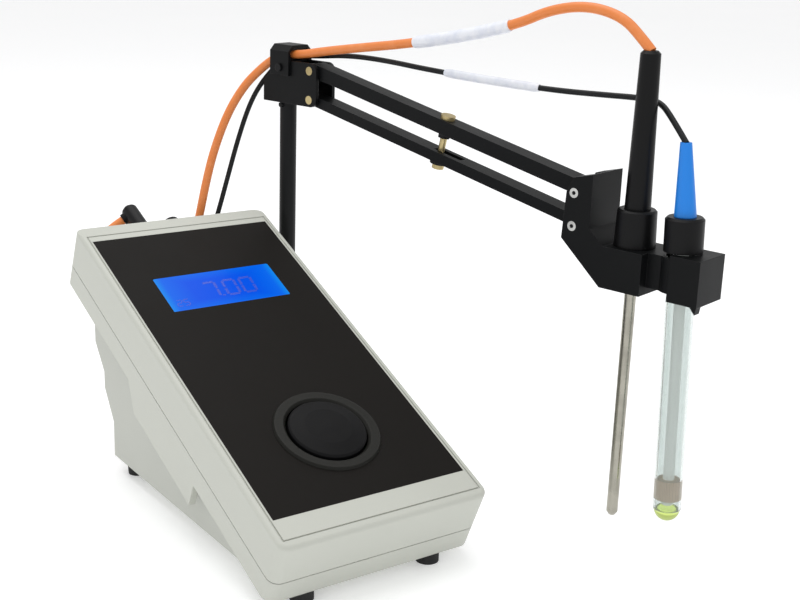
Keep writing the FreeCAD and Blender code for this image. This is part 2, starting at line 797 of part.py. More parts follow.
def make_mast():
    collar = turned("collar_blank", [
        ("mast_radius", PLATE_TOP),
        ("collar_radius", PLATE_TOP),
        ("collar_radius", f"{PLATE_TOP} + collar_height - 1"),
        ("collar_radius - 1", f"{PLATE_TOP} + collar_height"),
        ("mast_radius", f"{PLATE_TOP} + collar_height"),
    ])
    collar_bore = lying(cylinder("collar_bore", "collar_screw_radius", "collar_radius + 1"), (0, 1, 0))
    bind(collar_bore, Placement__Base__z=f"{PLATE_TOP} + collar_height/2")
    node(at(cut("mast_collar", collar, collar_bore), "mast_x", "mast_y", "0"))
    grub = cylinder("collar_screw", "collar_screw_radius", "collar_radius - mast_radius + 2")
    lying(grub, (0, 1, 0))
    bind(
        grub, Placement__Base__x="mast_x + mast_radius", Placement__Base__y="mast_y",
        Placement__Base__z=f"{PLATE_TOP} + collar_height/2",
    )
    node(grub)
    rod = cylinder("mast_rod", "mast_radius", f"mast_top - {PLATE_TOP}")
    bind(rod, Placement__Base__z=PLATE_TOP)
    pin_z = "block_bottom - stop_pin_radius - 0.2"
    drill = lying(cylinder("mast_drill", "stop_pin_radius", "stop_pin_length"), (1, 0, 0))
    at(drill, "0", "stop_pin_length/2", pin_z)
    mast = cut("mast", rod, drill)
    node(mast, ARM)
    pin = lying(cylinder("mast_stop_pin", "stop_pin_radius", "stop_pin_length"), (1, 0, 0))
    at(pin, "0", "stop_pin_length/2", pin_z)
    node(pin, ARM)


# ---------------------------------------------------------------- pivot block, pins and lead clip
CLIP_SCREW = ("clip_rear + clip_wide/2", "block_top - clip_high/2")
UPPER_PIN = ("pin_along", "upper_pin_z")
LOWER_PIN = ("pin_along", "(upper_pin_z - pin_spacing)")
HEAD_UPPER_PIN = ("0", "(upper_pin_z - arm_drop)")
HEAD_LOWER_PIN = ("0", "(upper_pin_z - arm_drop - pin_spacing)")


def pin_holes(owner, spots, half_width):
    """Stepped holes for flush pins through two ears."""
    pocket(owner, discs(owner, "XZ", [(x, z, "pin_radius") for x, z in spots]), f"2*({half_width}) + 2")
    for side in (1, -1):
        face = f"{side}*({half_width})"
        heads = discs(owner, "XZ", [(x, z, "pin_head_radius") for x, z in spots], offset=face)
        pocket(owner, heads, "2*pin_head_deep")


def flush_pin(label, x, z, half_width):
    """A pin with a wider head at each end, flush with both ears."""
    shank = cylinder(f"{label}_shank", "pin_radius", f"2*({half_width})")
    near = cylinder(f"{label}_near", "pin_head_radius", "pin_head_deep")
    far = cylinder(f"{label}_far", "pin_head_radius", "pin_head_deep")
    inner_face = f"-({half_width}) + pin_head_deep"
    for piece, start in ((shank, half_width), (near, half_width), (far, inner_face)):
        at(lying(piece, (1, 0, 0)), x, start, z)
    return fuse(label, shank, near, far)


def make_block():
    block = new_body("pivot_block")
    side_view = [
        ("block_rear", "block_bottom"),
        ("block_front", "block_bottom"),
        ("block_front", "block_top"),
        ("block_rear + block_chamfer", "block_top"),
        ("block_rear", "block_top - block_chamfer"),
    ]
    pad(block, outline(block, "XZ", side_view), "block_width", both_ways=True)
    front = size("block_front")

    def front_corner(edge, box):
        return box.XMin > front - 0.01 and box.YLength > 1 and box.ZLength < 1e-6

    fillet(block, "block_corner", front_corner)
    slot = rectangle("block_slot_rear", "-arm_width/2 - side_gap", "2*block_front", "arm_width/2 + side_gap")
    pocket(block, outline(block, "XY", slot, offset="block_bottom"), "4*pin_spacing")
    bore = discs(block, "XY", [("0", "0", "mast_radius + running_gap")], offset="block_bottom")
    pocket(block, bore, "2*(mast_top - block_bottom + 0.4)")
    pin_holes(block, [UPPER_PIN, LOWER_PIN], "block_width/2")
    for side in (1, -1):
        taps = discs(block, "XZ", [(*CLIP_SCREW, "clip_screw_radius")], offset=f"{side}*block_width/2")
        pocket(block, taps, "4")
    node(block, ARM)
    pins = [
        flush_pin("block_upper_pin", *UPPER_PIN, "block_width/2"),
        flush_pin("block_lower_pin", *LOWER_PIN, "block_width/2"),
    ]
    node(group("block_pins", *pins), ARM)


def make_clip():
    """A strap over the leads, its two legs down the block's sides."""
    strap = new_body("strap")
    half = "block_width/2"
    low = "block_top - clip_high"
    inner_top = "block_top + clip_high - clip_thick"
    arch = [
        (f"-{half} - clip_thick", low),
        (f"-{half}", low),
        (f"-{half}", f"{inner_top} - 2"),
        (f"-{half} + 2", inner_top),
        (f"{half} - 2", inner_top),
        (half, f"{inner_top} - 2"),
        (half, low),
        (f"{half} + clip_thick", low),
        (f"{half} + clip_thick", "block_top + clip_high - 3"),
        (f"{half} - 1.5", "block_top + clip_high"),
        (f"-{half} + 1.5", "block_top + clip_high"),
        (f"-{half} - clip_thick", "block_top + clip_high - 3"),
    ]
    pad(strap, outline(strap, "YZ", arch, offset="clip_rear"), "clip_wide")
    middle = "clip_rear + clip_wide/2"
    height = "block_top - clip_high/2"
    shanks = []
    screws = []
    starts = [(f"{half} + clip_thick", f"{half} + clip_thick + 1"), (f"-{half} + 2", f"-{half} - clip_thick")]
    for number, (shank_start, head_start) in enumerate(starts, 1):
        shank = cylinder(f"clip_shank_{number}", "clip_screw_radius", "clip_thick + 2")
        at(lying(shank, (1, 0, 0)), CLIP_SCREW[0], shank_start, CLIP_SCREW[1])
        head = cylinder(f"clip_head_{number}", "2*clip_screw_radius", "1")
        at(lying(head, (1, 0, 0)), CLIP_SCREW[0], head_start, CLIP_SCREW[1])
        shanks.append(shank)
        screws.append(fuse(f"clip_screw_{number}", shank, head))
    node(cut("cable_clip", strap, group("strap_holes", *shanks)), ARM)
    node(group("clip_screws", *screws), ARM)


# ---------------------------------------------------------------- arms and tension screw
ARM_LENGTH = "sqrt(arm_reach^2 + arm_drop^2)"


def bar(label, over, under):
    """A straight bar between two pins, its ends rounded about them."""
    owner = new_body(label)
    side_view = rectangle(f"-({under})", f"-({under})", f"{ARM_LENGTH} + {under}", over)
    pad(owner, outline(owner, "XZ", side_view), "arm_width", both_ways=True)

    def end_corner(edge, box):
        return box.YLength > 1 and box.XLength < 1e-6 and box.ZLength < 1e-6

    fillet(owner, f"0.45*({over} + {under})", end_corner)
    eyes = [("0", "0", "pin_radius + running_gap"), (ARM_LENGTH, "0", "pin_radius + running_gap")]
    pocket(owner, discs(owner, "XZ", eyes), "2*arm_width")
    return owner


def make_arms():
    upper = bar("upper_arm", "upper_arm_over", "upper_arm_under")
    shank = discs(upper, "XY", [("tension_along", "0", "tension_radius")])
    pocket(upper, shank, "4*arm_width")
    node(upper, UPPER_ARM)
    lower = bar("lower_arm", "lower_arm_over", "lower_arm_under")
    slot = rectangle(
        "tension_along + tension_shift - tension_slot/2", "-tension_radius - side_gap",
        "tension_along + tension_shift + tension_slot/2", "tension_radius + side_gap",
    )
    pocket(lower, outline(lower, "XY", slot), "4*arm_width")
    node(lower, LOWER_ARM)


def make_tension_screw():
    washer_top = "(-pin_spacing - lower_arm_under - running_gap)"
    end = f"({washer_top} - tension_washer_height - tension_nut_height)"
    head = cylinder("tension_head", "tension_head_radius", "tension_head_height")
    at(head, "tension_along", "0", "upper_arm_over")
    shank = cylinder("tension_shank", "tension_radius", f"upper_arm_over - {end}")
    at(shank, "tension_along", "0", end)
    knob = cylinder("tension_knob", "tension_head_radius - 0.6", "tension_nut_height")
    at(knob, "tension_along", "0", end)
    node(fuse("tension_screw", head, shank, knob), UPPER_ARM)
    washer = cylinder("washer_disc", "tension_washer_radius", "tension_washer_height")
    eye = cylinder("washer_eye", "tension_radius", "tension_washer_height")
    ring = cut("tension_washer", washer, eye)
    node(at(ring, "tension_along", "0", f"{washer_top} - tension_washer_height"), UPPER_ARM)
    nut = doc.addObject("Part::Prism", "tension_nut_blank")
    bind(nut, Circumradius="tension_nut_radius", Height="tension_nut_height")
    nut.Polygon = 6
    hole = cylinder("tension_nut_hole", "tension_radius", "tension_nut_height")
    ring = at(cut("tension_nut", nut, hole), "tension_along", "0", "-upper_arm_under - tension_nut_height")
    node(ring, UPPER_ARM)


# ---------------------------------------------------------------- electrode holder
def make_head():
    head = new_body("electrode_head")
    side_view = [
        ("head_rear", "head_deck"),
        ("head_rear + 20.4", "head_bottom"),
        ("head_body_front", "head_bottom"),
        ("head_body_front", "head_deck"),
        ("head_tower_front + head_gusset", "head_deck"),
        ("head_tower_front", "head_deck + 0.85*head_gusset"),
        ("head_tower_front", "head_tower_top"),
        ("head_rear + 4.5", "head_tower_top - 2.4"),
        ("head_rear + 1.2", "head_tower_top - 9"),
    ]
    pad(head, outline(head, "XZ", side_view), "2*head_half", both_ways=True)
    neck = rectangle("head_body_front - 2", "-neck_half", "electrode_along", "neck_half")
    pad(head, outline(head, "XY", neck, offset="neck_bottom"), "head_deck - neck_bottom")
    ring = discs(head, "XY", [("electrode_along", "0", "ring_radius")], offset="neck_bottom")
    pad(head, ring, "head_deck - neck_bottom")
    jaw = rectangle("jaw_rear", "-jaw_half", "jaw_front", "jaw_half")
    pad(head, outline(head, "XY", jaw, offset="jaw_bottom"), "jaw_top - jaw_bottom")
    nose = [
        ("jaw_front - 3.5", "jaw_bottom + 0.5"),
        ("jaw_front - 3", "jaw_bottom"),
        ("jaw_front - 0.6", "jaw_bottom - jaw_nose"),
        ("jaw_front", "jaw_bottom + 0.5"),
    ]
    pad(head, outline(head, "XZ", nose, offset="jaw_half - 4"), "4")
    slot = rectangle("head_rear - 1", "-arm_width/2 - side_gap", "head_slot_front", "arm_width/2 + side_gap")
    high = "(head_tower_top - head_slot_floor + 1)"
    pocket(head, outline(head, "XY", slot, offset=f"head_slot_floor + {high}"), f"2*{high}")
    holes = [
        ("probe_along", "0", "rod_radius + running_gap"),
        ("electrode_along", "0", "tube_radius + electrode_hole_play"),
    ]
    pocket(head, discs(head, "XY", holes, offset="head_bottom"), "4*(head_deck - head_bottom)")
    pin_holes(head, [HEAD_UPPER_PIN, HEAD_LOWER_PIN], "head_half")
    node(head, HEAD)
    pins = [
        flush_pin("head_upper_pin", *HEAD_UPPER_PIN, "head_half"),
        flush_pin("head_lower_pin", *HEAD_LOWER_PIN, "head_half"),
    ]
    node(group("head_pins", *pins), HEAD)
    bush = turned("probe_bush", [
        ("rod_radius + running_gap", "head_deck"),
        ("bush_radius + 0.5", "head_deck"),
        ("bush_radius", "bush_top - 0.8"),
        ("bush_radius - 0.8", "bush_top"),
        ("handle_bottom_radius + running_gap", "bush_top"),
        ("handle_bottom_radius + running_gap", "bush_top - bush_socket"),
        ("rod_radius + running_gap", "bush_top - bush_socket"),
    ])
    node(at(bush, "probe_along", "0", "0"), HEAD)


# ---------------------------------------------------------------- probes
def make_temp_probe():
    handle = turned("probe_handle", [
        ("rod_radius", "bush_top - bush_socket"),
        ("handle_bottom_radius", "bush_top - bush_socket"),
        ("handle_bottom_radius", "bush_top"),
        ("handle_top_radius", "handle_top - handle_round"),
        ("handle_top_radius - handle_round", "handle_top"),
        ("0", "handle_top"),
        ("0", "bush_top + 20"),
        ("rod_radius", "bush_top + 20"),
    ])
    node(at(handle, "probe_along", "0", "0"), HEAD)
    rod = turned("probe_rod", [
        ("0", "rod_tip"),
        ("0.6*rod_radius", "rod_tip"),
        ("rod_radius", "rod_tip + 0.6*rod_radius"),
        ("rod_radius", "bush_top + 20"),
        ("0", "bush_top + 20"),
    ])
    node(at(rod, "probe_along", "0", "0"), HEAD)


def swept_cone(label):
    """The tapering relief, its top pulled over towards the mast."""
    rings = []
    for name, radius, x, z in (
        ("bottom", "relief_bottom_radius", "0", "cap_top"),
        ("top", "relief_top_radius", "-relief_sweep", "relief_top"),
    ):
        ring = doc.addObject("Part::Circle", f"{label}_{name}")
        bind(ring, Radius=radius)
        rings.append(at(ring, x, "0", z))
    cone = doc.addObject("Part::Loft", label)
    cone.Label = label
    cone.Sections = rings
    cone.Solid = True
    cone.Ruled = True
    return cone


def relief_end():
    """Where the middle of the relief's top is: along the arm, and up."""
    lean = math.radians(size("electrode_lean"))
    rise = size("relief_top") - size("jaw_top")
    sweep = size("relief_sweep")
    seat = size("jaw_top") + size("running_gap") + size("cap_radius") * math.sin(lean)
    base = size("pin_along") + size("arm_reach") + size("electrode_along")
    along = base - sweep * math.cos(lean) - rise * math.sin(lean)
    return along, seat + rise * math.cos(lean) - sweep * math.sin(lean)


def make_electrode():
    inner = "(tube_radius - tube_wall)"
    pieces = [
        turned("electrode_cap", [
            ("0", "jaw_top"),
            ("cap_radius", "jaw_top"),
            ("cap_radius", "cap_top - cap_chamfer"),
            ("cap_radius - cap_chamfer", "cap_top"),
            ("0", "cap_top"),
        ]),
        swept_cone("strain_relief"),
        turned("electrode_tube", [
            (inner, "tube_bottom"),
            ("tube_radius", "tube_bottom"),
            ("tube_radius", "jaw_top"),
            (inner, "jaw_top"),
        ]),
        turned("electrode_stem", [
            ("0", "stem_bottom"),
            ("stem_radius", "stem_bottom"),
            ("stem_radius", "jaw_top"),
            ("0", "jaw_top"),
        ]),
        turned("junction_band", [
            ("stem_radius", "band_bottom"),
            (inner, "band_bottom"),
            (inner, "band_bottom + band_height"),
            ("stem_radius", "band_bottom + band_height"),
        ]),
    ]
    for piece in pieces:
        node(at(piece, "0", "0", "-jaw_top"), ELECTRODE)
    ball = doc.addObject("Part::Sphere", "bulb_ball")
    bind(ball, Radius="bulb_radius")
    upper = box("bulb_upper", "4*bulb_radius", "4*bulb_radius", "4*bulb_radius")
    at(upper, "-2*bulb_radius", "-2*bulb_radius", "0")
    bulb = cut("electrode_bulb", ball, upper)
    node(at(bulb, "0", "0", "tube_bottom - jaw_top"), ELECTRODE)


# ---------------------------------------------------------------- rear connectors
def socket_profile():
    return [
        ("0", "-case_wall - socket_barrel"),
        ("socket_radius", "-case_wall - socket_barrel"),
        ("socket_radius", "0"),
        ("socket_flange_radius", "0"),
        ("socket_flange_radius", "socket_flange"),
        ("0", "socket_flange"),
    ]


def side_boot(label, body, radius, reach, exit_t, lead_radius, turn):
    """A plug's body with a tapering boot out of its side for the lead."""
    boot = doc.addObject("Part::Cone", f"{label}_boot")
    bind(boot, Radius1=f"{radius} - 0.9", Radius2=f"{lead_radius} + 0.8", Height=f"{radius} + {reach}")
    sideways = [
        ("0", "0", "0", (0, -1, 0), "90 deg"),
        ("0", "0", f"socket_flange + {exit_t}", (0, 0, -1), turn),
    ]
    return fuse(label, body, framed(boot, sideways))


def make_connectors():
    temp_place = rear_frames("temp_socket_x", "temp_socket_n")
    electrode_place = rear_frames("electrode_socket_x", "electrode_socket_n")
    node(turned("temp_socket", socket_profile()), temp_place)
    node(turned("electrode_socket", socket_profile()), electrode_place)
    jack = turned("power_socket", [
        ("0", "-case_wall - socket_barrel"),
        ("socket_radius", "-case_wall - socket_barrel"),
        ("socket_radius", "0"),
        ("socket_flange_radius", "0"),
        ("socket_flange_radius", "socket_flange"),
        ("power_bore_radius", "socket_flange"),
        ("power_bore_radius", "-socket_barrel"),
        ("0", "-socket_barrel"),
    ])
    node(jack, rear_frames("power_socket_x", "power_socket_n"))
    body = turned("temp_plug_body", [
        ("0", "socket_flange"),
        ("temp_plug_radius", "socket_flange"),
        ("temp_plug_radius", "socket_flange + temp_plug_length - 2"),
        ("temp_plug_radius - 1.6", "socket_flange + temp_plug_length"),
        ("0", "socket_flange + temp_plug_length"),
    ])
    node(side_boot(
        "temp_plug", body, "temp_plug_radius", "temp_plug_boot", "temp_plug_exit_t",
        "temp_lead_radius", "temp_plug_droop * 1 deg",
    ), temp_place)
    elbow = turned("electrode_plug_body", [
        ("0", "socket_flange"),
        ("electrode_plug_radius", "socket_flange"),
        ("electrode_plug_radius", "socket_flange + electrode_plug_length - 1"),
        ("electrode_plug_radius - 1", "socket_flange + electrode_plug_length"),
        ("0", "socket_flange + electrode_plug_length"),
    ])
    node(side_boot(
        "electrode_plug", elbow, "electrode_plug_radius", "electrode_plug_boot", "electrode_plug_exit_t",
        "electrode_lead_radius", "(180 - electrode_plug_droop) * 1 deg",
    ), electrode_place)


# ---------------------------------------------------------------- leads
def lead_edges(points):
    """Straight runs joined by tangent arcs, each as large as its runs allow, and the arcs' radii."""
    spots = [Vector(*p) for p in points]
    radii = []
    cuts = [0.0]
    for before, here, after in zip(spots, spots[1:], spots[2:]):
        arriving = here - before
        leaving = after - here
        half_turn = arriving.getAngle(leaving) / 2
        set_back = 0.45 * min(arriving.Length, leaving.Length)
        cuts.append(set_back)
        radii.append(set_back / math.tan(half_turn))
    cuts.append(0.0)
    edges = []
    last = spots[0]
    for number in range(1, len(spots) - 1):
        here = spots[number]
        arriving = (here - spots[number - 1]).normalize()
        leaving = (spots[number + 1] - here).normalize()
        start = here - arriving * cuts[number]
        end = here + leaving * cuts[number]
        inward = (leaving - arriving).normalize()
        half_turn = arriving.getAngle(leaving) / 2
        radius = radii[number - 1]
        middle = here + inward * (radius / math.cos(half_turn) - radius)
        edges.append(Part.LineSegment(last, start).toShape())
        edges.append(Part.Arc(start, middle, end).toShape())
        last = end
    edges.append(Part.LineSegment(last, spots[-1]).toShape())
    return edges, radii


def tube(label, edges, radius):
    path = Part.Wire(edges)
    start = edges[0].valueAt(edges[0].FirstParameter)
    heading = edges[0].tangentAt(edges[0].FirstParameter)
    ring = Part.Wire([Part.makeCircle(radius, start, heading)])
    solid = path.makePipeShell([ring], True, False)
    expected = math.pi * radius ** 2 * path.Length
    print(f"{label}: {path.Length:.1f} mm long, volume {solid.Volume / expected:.4f} of length times section")
    return solid


def in_arm(along, side, up):
    """A point given along the arm, towards the arm's left side and up."""
    turn = Rotation(Vector(0, 0, 1), size("arm_azimuth"))
    return tuple(Vector(size("mast_x"), size("mast_y"), 0) + turn.multVec(Vector(along, -side, up)))


def in_case(x, t, n):
    """A point given across the case, up its slope and out of its top face."""
    tilt = Rotation(Vector(1, 0, 0), size("case_tilt"))
    return tuple(Vector(0, size("front_edge_y"), size("front_edge_z")) + tilt.multVec(Vector(x, t, n)))


def stepped(start, headings, step):
    """Points from a start, one step along each heading, each given as (across, along, out) of the case."""
    spots = [start]
    for heading in headings:
        last = spots[-1]
        spots.append(tuple(here + step * part for here, part in zip(last, heading)))
    return [in_case(*spot) for spot in spots]


def lead(label, points, radius_name, seat=None):
    """A flexible lead along a hand-laid route, cut level at its far end where it has a seat."""
    edges, radii = lead_edges(points)
    least = min(radii) / size(radius_name) / 2
    print(f"{label}: radii {[round(r, 1) for r in radii]}, least {least:.1f} diameters")
    made = doc.addObject("Part::Feature", label)
    made.Label = label
    made.Shape = tube(label, edges, size(radius_name))
    if seat is not None:
        reach = 10.0
        low_corner = Vector(points[-1][0] - reach, points[-1][1] - reach, seat - reach)
        made.Shape = made.Shape.cut(Part.makeBox(2 * reach, 2 * reach, reach, low_corner))
    nodes.append(made)
    return edges


def label_sleeve(label, edges, first, last, radius_name):
    """A printed sleeve on a stretch of lead, between two of its arcs."""
    radius = size(radius_name)
    solid = tube(label, edges[first:last], radius + size("label_skin"))
    core = tube(f"{label}_core", edges[first:last], radius)
    made = doc.addObject("Part::Feature", label)
    made.Label = label
    made.Shape = solid.cut(core)
    nodes.append(made)


def heading(across, droop):
    """A direction in the plane of the rear wall, an angle below the horizontal to one side."""
    angle = math.radians(droop)
    return (across * math.cos(angle), 0, -math.sin(angle))


def make_temp_lead():
    droop = size("temp_plug_droop")
    boot = size("temp_plug_radius") + size("temp_plug_boot")
    across, _, out = heading(-1, droop)
    exit_point = (
        size("temp_socket_x") + boot * across,
        size("case_length") - size("front_margin") + size("socket_flange") + size("temp_plug_exit_t"),
        size("temp_socket_n") + boot * out,
    )
    route = stepped(exit_point, [heading(-1, droop), heading(-1, droop + 22), heading(-1, droop + 44)], 7)
    split = in_arm(5.0, 2.3, 193.3)
    route += [
        (-28.5, 141.5, 82.0),
        (-27.0, 143.0, 65.0),
        (-17.0, 143.0, 51.0),
        (-1.0, 142.0, 46.0),
        (13.0, 140.5, 55.0),
        (20.0, 139.0, 73.0),
        (22.0, 136.8, 94.0),
        (24.6, 133.5, 112.0),
        (29.0, 135.0, 127.6),
        (34.2, 136.5, 142.6),
        (41.4, 135.5, 161.0),
        (49.4, 132.5, 175.2),
        (56.2, 127.5, 184.0),
        in_arm(-8.2, 2.5, 189.9),
        in_arm(-0.5, 2.4, 192.95),
        split,
    ]
    lead("temp_lead_rear", route, "temp_lead_radius")
    handle_top = size("handle_top")
    handle_along = size("pin_along") + size("arm_reach") + size("probe_along")
    arm_route = [
        in_arm(5.03, 2.3, 193.302),
        in_arm(11.6, 2.2, 193.72),
        in_arm(26.0, 1.9, 196.7),
        in_arm(52.0, 1.7, 200.9),
        in_arm(78.0, 1.4, 204.9),
        in_arm(111.0, 1.1, 211.3),
        in_arm(140.0, 0.7, 218.6),
        in_arm(157.5, 0.5, 226.3),
        in_arm(176.0, 0.3, handle_top + 15.4),
        in_arm(handle_along - 14.0, 0.0, handle_top + 12.0),
        in_arm(handle_along - 4.2, 0.0, handle_top + 4.0),
        in_arm(handle_along + 1.9, 0.0, handle_top - 1.8),
    ]
    edges = lead("temp_lead_arm", arm_route, "temp_lead_radius", seat=handle_top + 0.02)
    label_sleeve("temp_label", edges, 8, 11, "temp_lead_radius")


def make_electrode_lead():
    droop = size("electrode_plug_droop")
    boot = size("electrode_plug_radius") + size("electrode_plug_boot")
    across, _, out = heading(1, droop)
    exit_point = (
        size("electrode_socket_x") + boot * across,
        size("case_length") - size("front_margin") + size("socket_flange") + size("electrode_plug_exit_t"),
        size("electrode_socket_n") + boot * out,
    )
    split = in_arm(5.0, -3.1, 192.4)
    route = stepped(exit_point, [heading(1, droop)], 9) + [
        (10.4, 136.6, 76.5),
        (10.4, 135.2, 66.2),
        (15.7, 134.6, 60.7),
        (23.3, 134.6, 60.7),
        (28.8, 134.6, 66.2),
        (29.2, 134.9, 77.0),
        (29.6, 134.6, 88.5),
        (30.8, 132.6, 100.5),
        (33.4, 130.0, 112.5),
        (39.4, 132.0, 128.0),
        (46.0, 133.0, 147.4),
        (52.2, 132.0, 165.4),
        (57.2, 128.6, 176.8),
        in_arm(-9.8, -1.6, 186.9),
        in_arm(-2.0, -3.1, 192.1),
        split,
    ]
    lead("ph_lead_rear", route, "electrode_lead_radius")
    relief_along, relief_top = relief_end()
    arm_route = [
        in_arm(5.03, -3.1, 192.401),
        in_arm(14.0, -3.1, 192.786),
        in_arm(38.0, -3.0, 195.6),
        in_arm(62.0, -3.1, 195.5),
        in_arm(88.0, -3.6, 193.8),
        in_arm(122.0, -5.1, 192.4),
        in_arm(156.0, -7.6, 191.6),
        in_arm(180.0, -9.6, 192.2),
        in_arm(198.0, -9.8, 193.0),
        in_arm(relief_along - 17.3, -7.0, relief_top + 13.5),
        in_arm(relief_along - 9.2, -3.0, relief_top + 8.6),
        in_arm(relief_along + 1.0, 0.4, relief_top - 1.2),
    ]
    edges = lead("ph_lead_arm", arm_route, "electrode_lead_radius", seat=relief_top + 0.1)
    label_sleeve("ph_label", edges, 8, 11, "electrode_lead_radius")


# ---------------------------------------------------------------- the whole part
def build():
    make_lid()
    make_tray()
    make_case_screws()
    make_overlay()
    make_display()
    make_board()
    make_button()
    make_stand()
    make_stand_screws()
    make_feet()
    make_plate()
    make_mast()
    make_block()
    make_clip()
    make_arms()
    make_tension_screw()
    make_head()
    make_temp_probe()
    make_electrode()
    make_connectors()
    make_temp_lead()
    make_electrode_lead()
    doc.recompute()


build()
for thing in doc.Objects:
    if "Invalid" in thing.State or "Error" in thing.State:
        raise RuntimeError(f"{thing.Label} failed: {thing.State}")
os.makedirs("parts", exist_ok=True)
for thing in nodes:
    shape = thing.Shape
    if shape.isNull() or not shape.isValid():
        raise RuntimeError(f"{thing.Label} has no valid shape")
    shape.exportStep(os.path.join("parts", f"{thing.Label}.step"))
print(f"{len(nodes)} nodes")
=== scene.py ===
"""The looks of a benchtop pH meter with a swing arm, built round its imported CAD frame."""
import math

import bmesh
import bpy
from mathutils import Matrix, Vector


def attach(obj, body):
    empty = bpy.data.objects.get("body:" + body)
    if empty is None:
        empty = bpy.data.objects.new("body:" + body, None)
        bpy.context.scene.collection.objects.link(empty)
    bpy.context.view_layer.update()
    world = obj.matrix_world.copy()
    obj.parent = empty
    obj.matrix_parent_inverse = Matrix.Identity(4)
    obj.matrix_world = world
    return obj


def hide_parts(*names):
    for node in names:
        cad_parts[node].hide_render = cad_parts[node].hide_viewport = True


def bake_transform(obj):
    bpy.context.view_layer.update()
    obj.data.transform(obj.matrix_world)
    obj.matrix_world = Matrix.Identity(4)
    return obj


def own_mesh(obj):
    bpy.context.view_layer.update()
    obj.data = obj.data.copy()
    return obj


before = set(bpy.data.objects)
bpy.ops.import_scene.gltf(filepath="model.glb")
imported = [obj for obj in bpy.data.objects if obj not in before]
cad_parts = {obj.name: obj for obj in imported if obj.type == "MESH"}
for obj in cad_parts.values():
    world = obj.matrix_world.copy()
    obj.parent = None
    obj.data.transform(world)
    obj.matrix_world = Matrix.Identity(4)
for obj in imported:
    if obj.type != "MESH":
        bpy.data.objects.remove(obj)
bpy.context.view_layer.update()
MM = 0.001

# ---------------------------------------------------------------- camera
LENS = 59.75
CAMERA_AT = Vector((-277.6, -469.4, 266.4)) * MM
CAMERA_YAW = math.radians(-35.505)
CAMERA_DOWN = math.radians(16.571)
CAMERA_ROLL = math.radians(1.941)


def add_camera():
    data = bpy.data.cameras.new("camera")
    data.lens = LENS
    data.sensor_width = 36
    data.clip_start = 0.01
    level = math.cos(CAMERA_DOWN)
    ahead = Vector((-math.sin(CAMERA_YAW) * level, math.cos(CAMERA_YAW) * level, -math.sin(CAMERA_DOWN)))
    right = Vector((math.cos(CAMERA_YAW), math.sin(CAMERA_YAW), 0))
    up = right.cross(ahead)
    turn = math.cos(CAMERA_ROLL), math.sin(CAMERA_ROLL)
    rolled_right = turn[0] * right + turn[1] * up
    rolled_up = turn[0] * up - turn[1] * right
    camera = bpy.data.objects.new("camera", data)
    camera.matrix_world = Matrix((
        (rolled_right.x, rolled_up.x, -ahead.x, CAMERA_AT.x),
        (rolled_right.y, rolled_up.y, -ahead.y, CAMERA_AT.y),
        (rolled_right.z, rolled_up.z, -ahead.z, CAMERA_AT.z),
        (0, 0, 0, 1),
    ))
    bpy.context.collection.objects.link(camera)
    bpy.context.scene.camera = camera


add_camera()

# ---------------------------------------------------------------- frames of the case and the arm
TILT = math.radians(22.9)
CASE_FRONT = Vector((0, -66, 38.8)) * MM
ARM_SWING = math.radians(-76)
MAST_FOOT = Vector((64.5, 113.3, 0)) * MM
CASE = Matrix.Translation(CASE_FRONT) @ Matrix.Rotation(TILT, 4, "X")
ARM = Matrix.Translation(MAST_FOOT) @ Matrix.Rotation(ARM_SWING, 4, "Z")


def in_case(x, t, n):
    """A point across the case, up its slope and out of its top face, in millimetres."""
    return CASE @ (Vector((x, t, n)) * MM)


def in_arm(along, side, up):
    """A point along the arm, towards its left side and up, in millimetres."""
    return ARM @ (Vector((along, -side, up)) * MM)


def at(x, y, z):
    return Vector((x, y, z)) * MM


# ---------------------------------------------------------------- node helpers
def srgb(text):
    """Linear colour of a six-digit hex colour."""
    parts = [int(text[i:i + 2], 16) / 255 for i in (0, 2, 4)]
    linear = [c / 12.92 if c <= 0.04045 else ((c + 0.055) / 1.055) ** 2.4 for c in parts]
    return (*linear, 1)


class Tree:
    """Short ways to add and join nodes."""

    def __init__(self, tree):
        self.tree = tree

    def add(self, kind, sockets=None, **fields):
        made = self.tree.nodes.new(f"ShaderNode{kind}")
        for name, value in fields.items():
            setattr(made, name, value)
        for name, value in (sockets or {}).items():
            if isinstance(value, bpy.types.NodeSocket):
                self.join(value, made.inputs[name])
            else:
                made.inputs[name].default_value = value
        return made

    def math(self, operation, first, second=0.0, clamp=False):
        return self.add("Math", {0: first, 1: second}, operation=operation, use_clamp=clamp).outputs[0]

    def join(self, source, target):
        self.tree.links.new(source, target)

    def mix(self, factor, first, second):
        return self.add("Mix", {0: factor, 6: first, 7: second}, data_type="RGBA").outputs[2]

    def ramp(self, value, stops):
        made = self.add("ValToRGB", {0: value})
        elements = made.color_ramp.elements
        while len(elements) < len(stops):
            elements.new(0.5)
        for element, (place, colour) in zip(elements, stops):
            element.position = place
            element.color = colour if isinstance(colour, tuple) else (colour, colour, colour, 1)
        return made.outputs[0]


def group(name, takes, gives):
    """A node group with named inputs and outputs: the group, its Tree, what it takes and what it gives."""
    made = bpy.data.node_groups.new(name, "ShaderNodeTree")
    kinds = {"colour": "NodeSocketColor", "value": "NodeSocketFloat", "normal": "NodeSocketVector"}
    for label, kind, default in takes:
        socket = made.interface.new_socket(label, in_out="INPUT", socket_type=kinds[kind])
        socket.default_value = default
    for label, kind in gives:
        made.interface.new_socket(label, in_out="OUTPUT", socket_type=kinds[kind])
    take = made.nodes.new("NodeGroupInput").outputs
    give = made.nodes.new("NodeGroupOutput").inputs
    return made, Tree(made), take, give


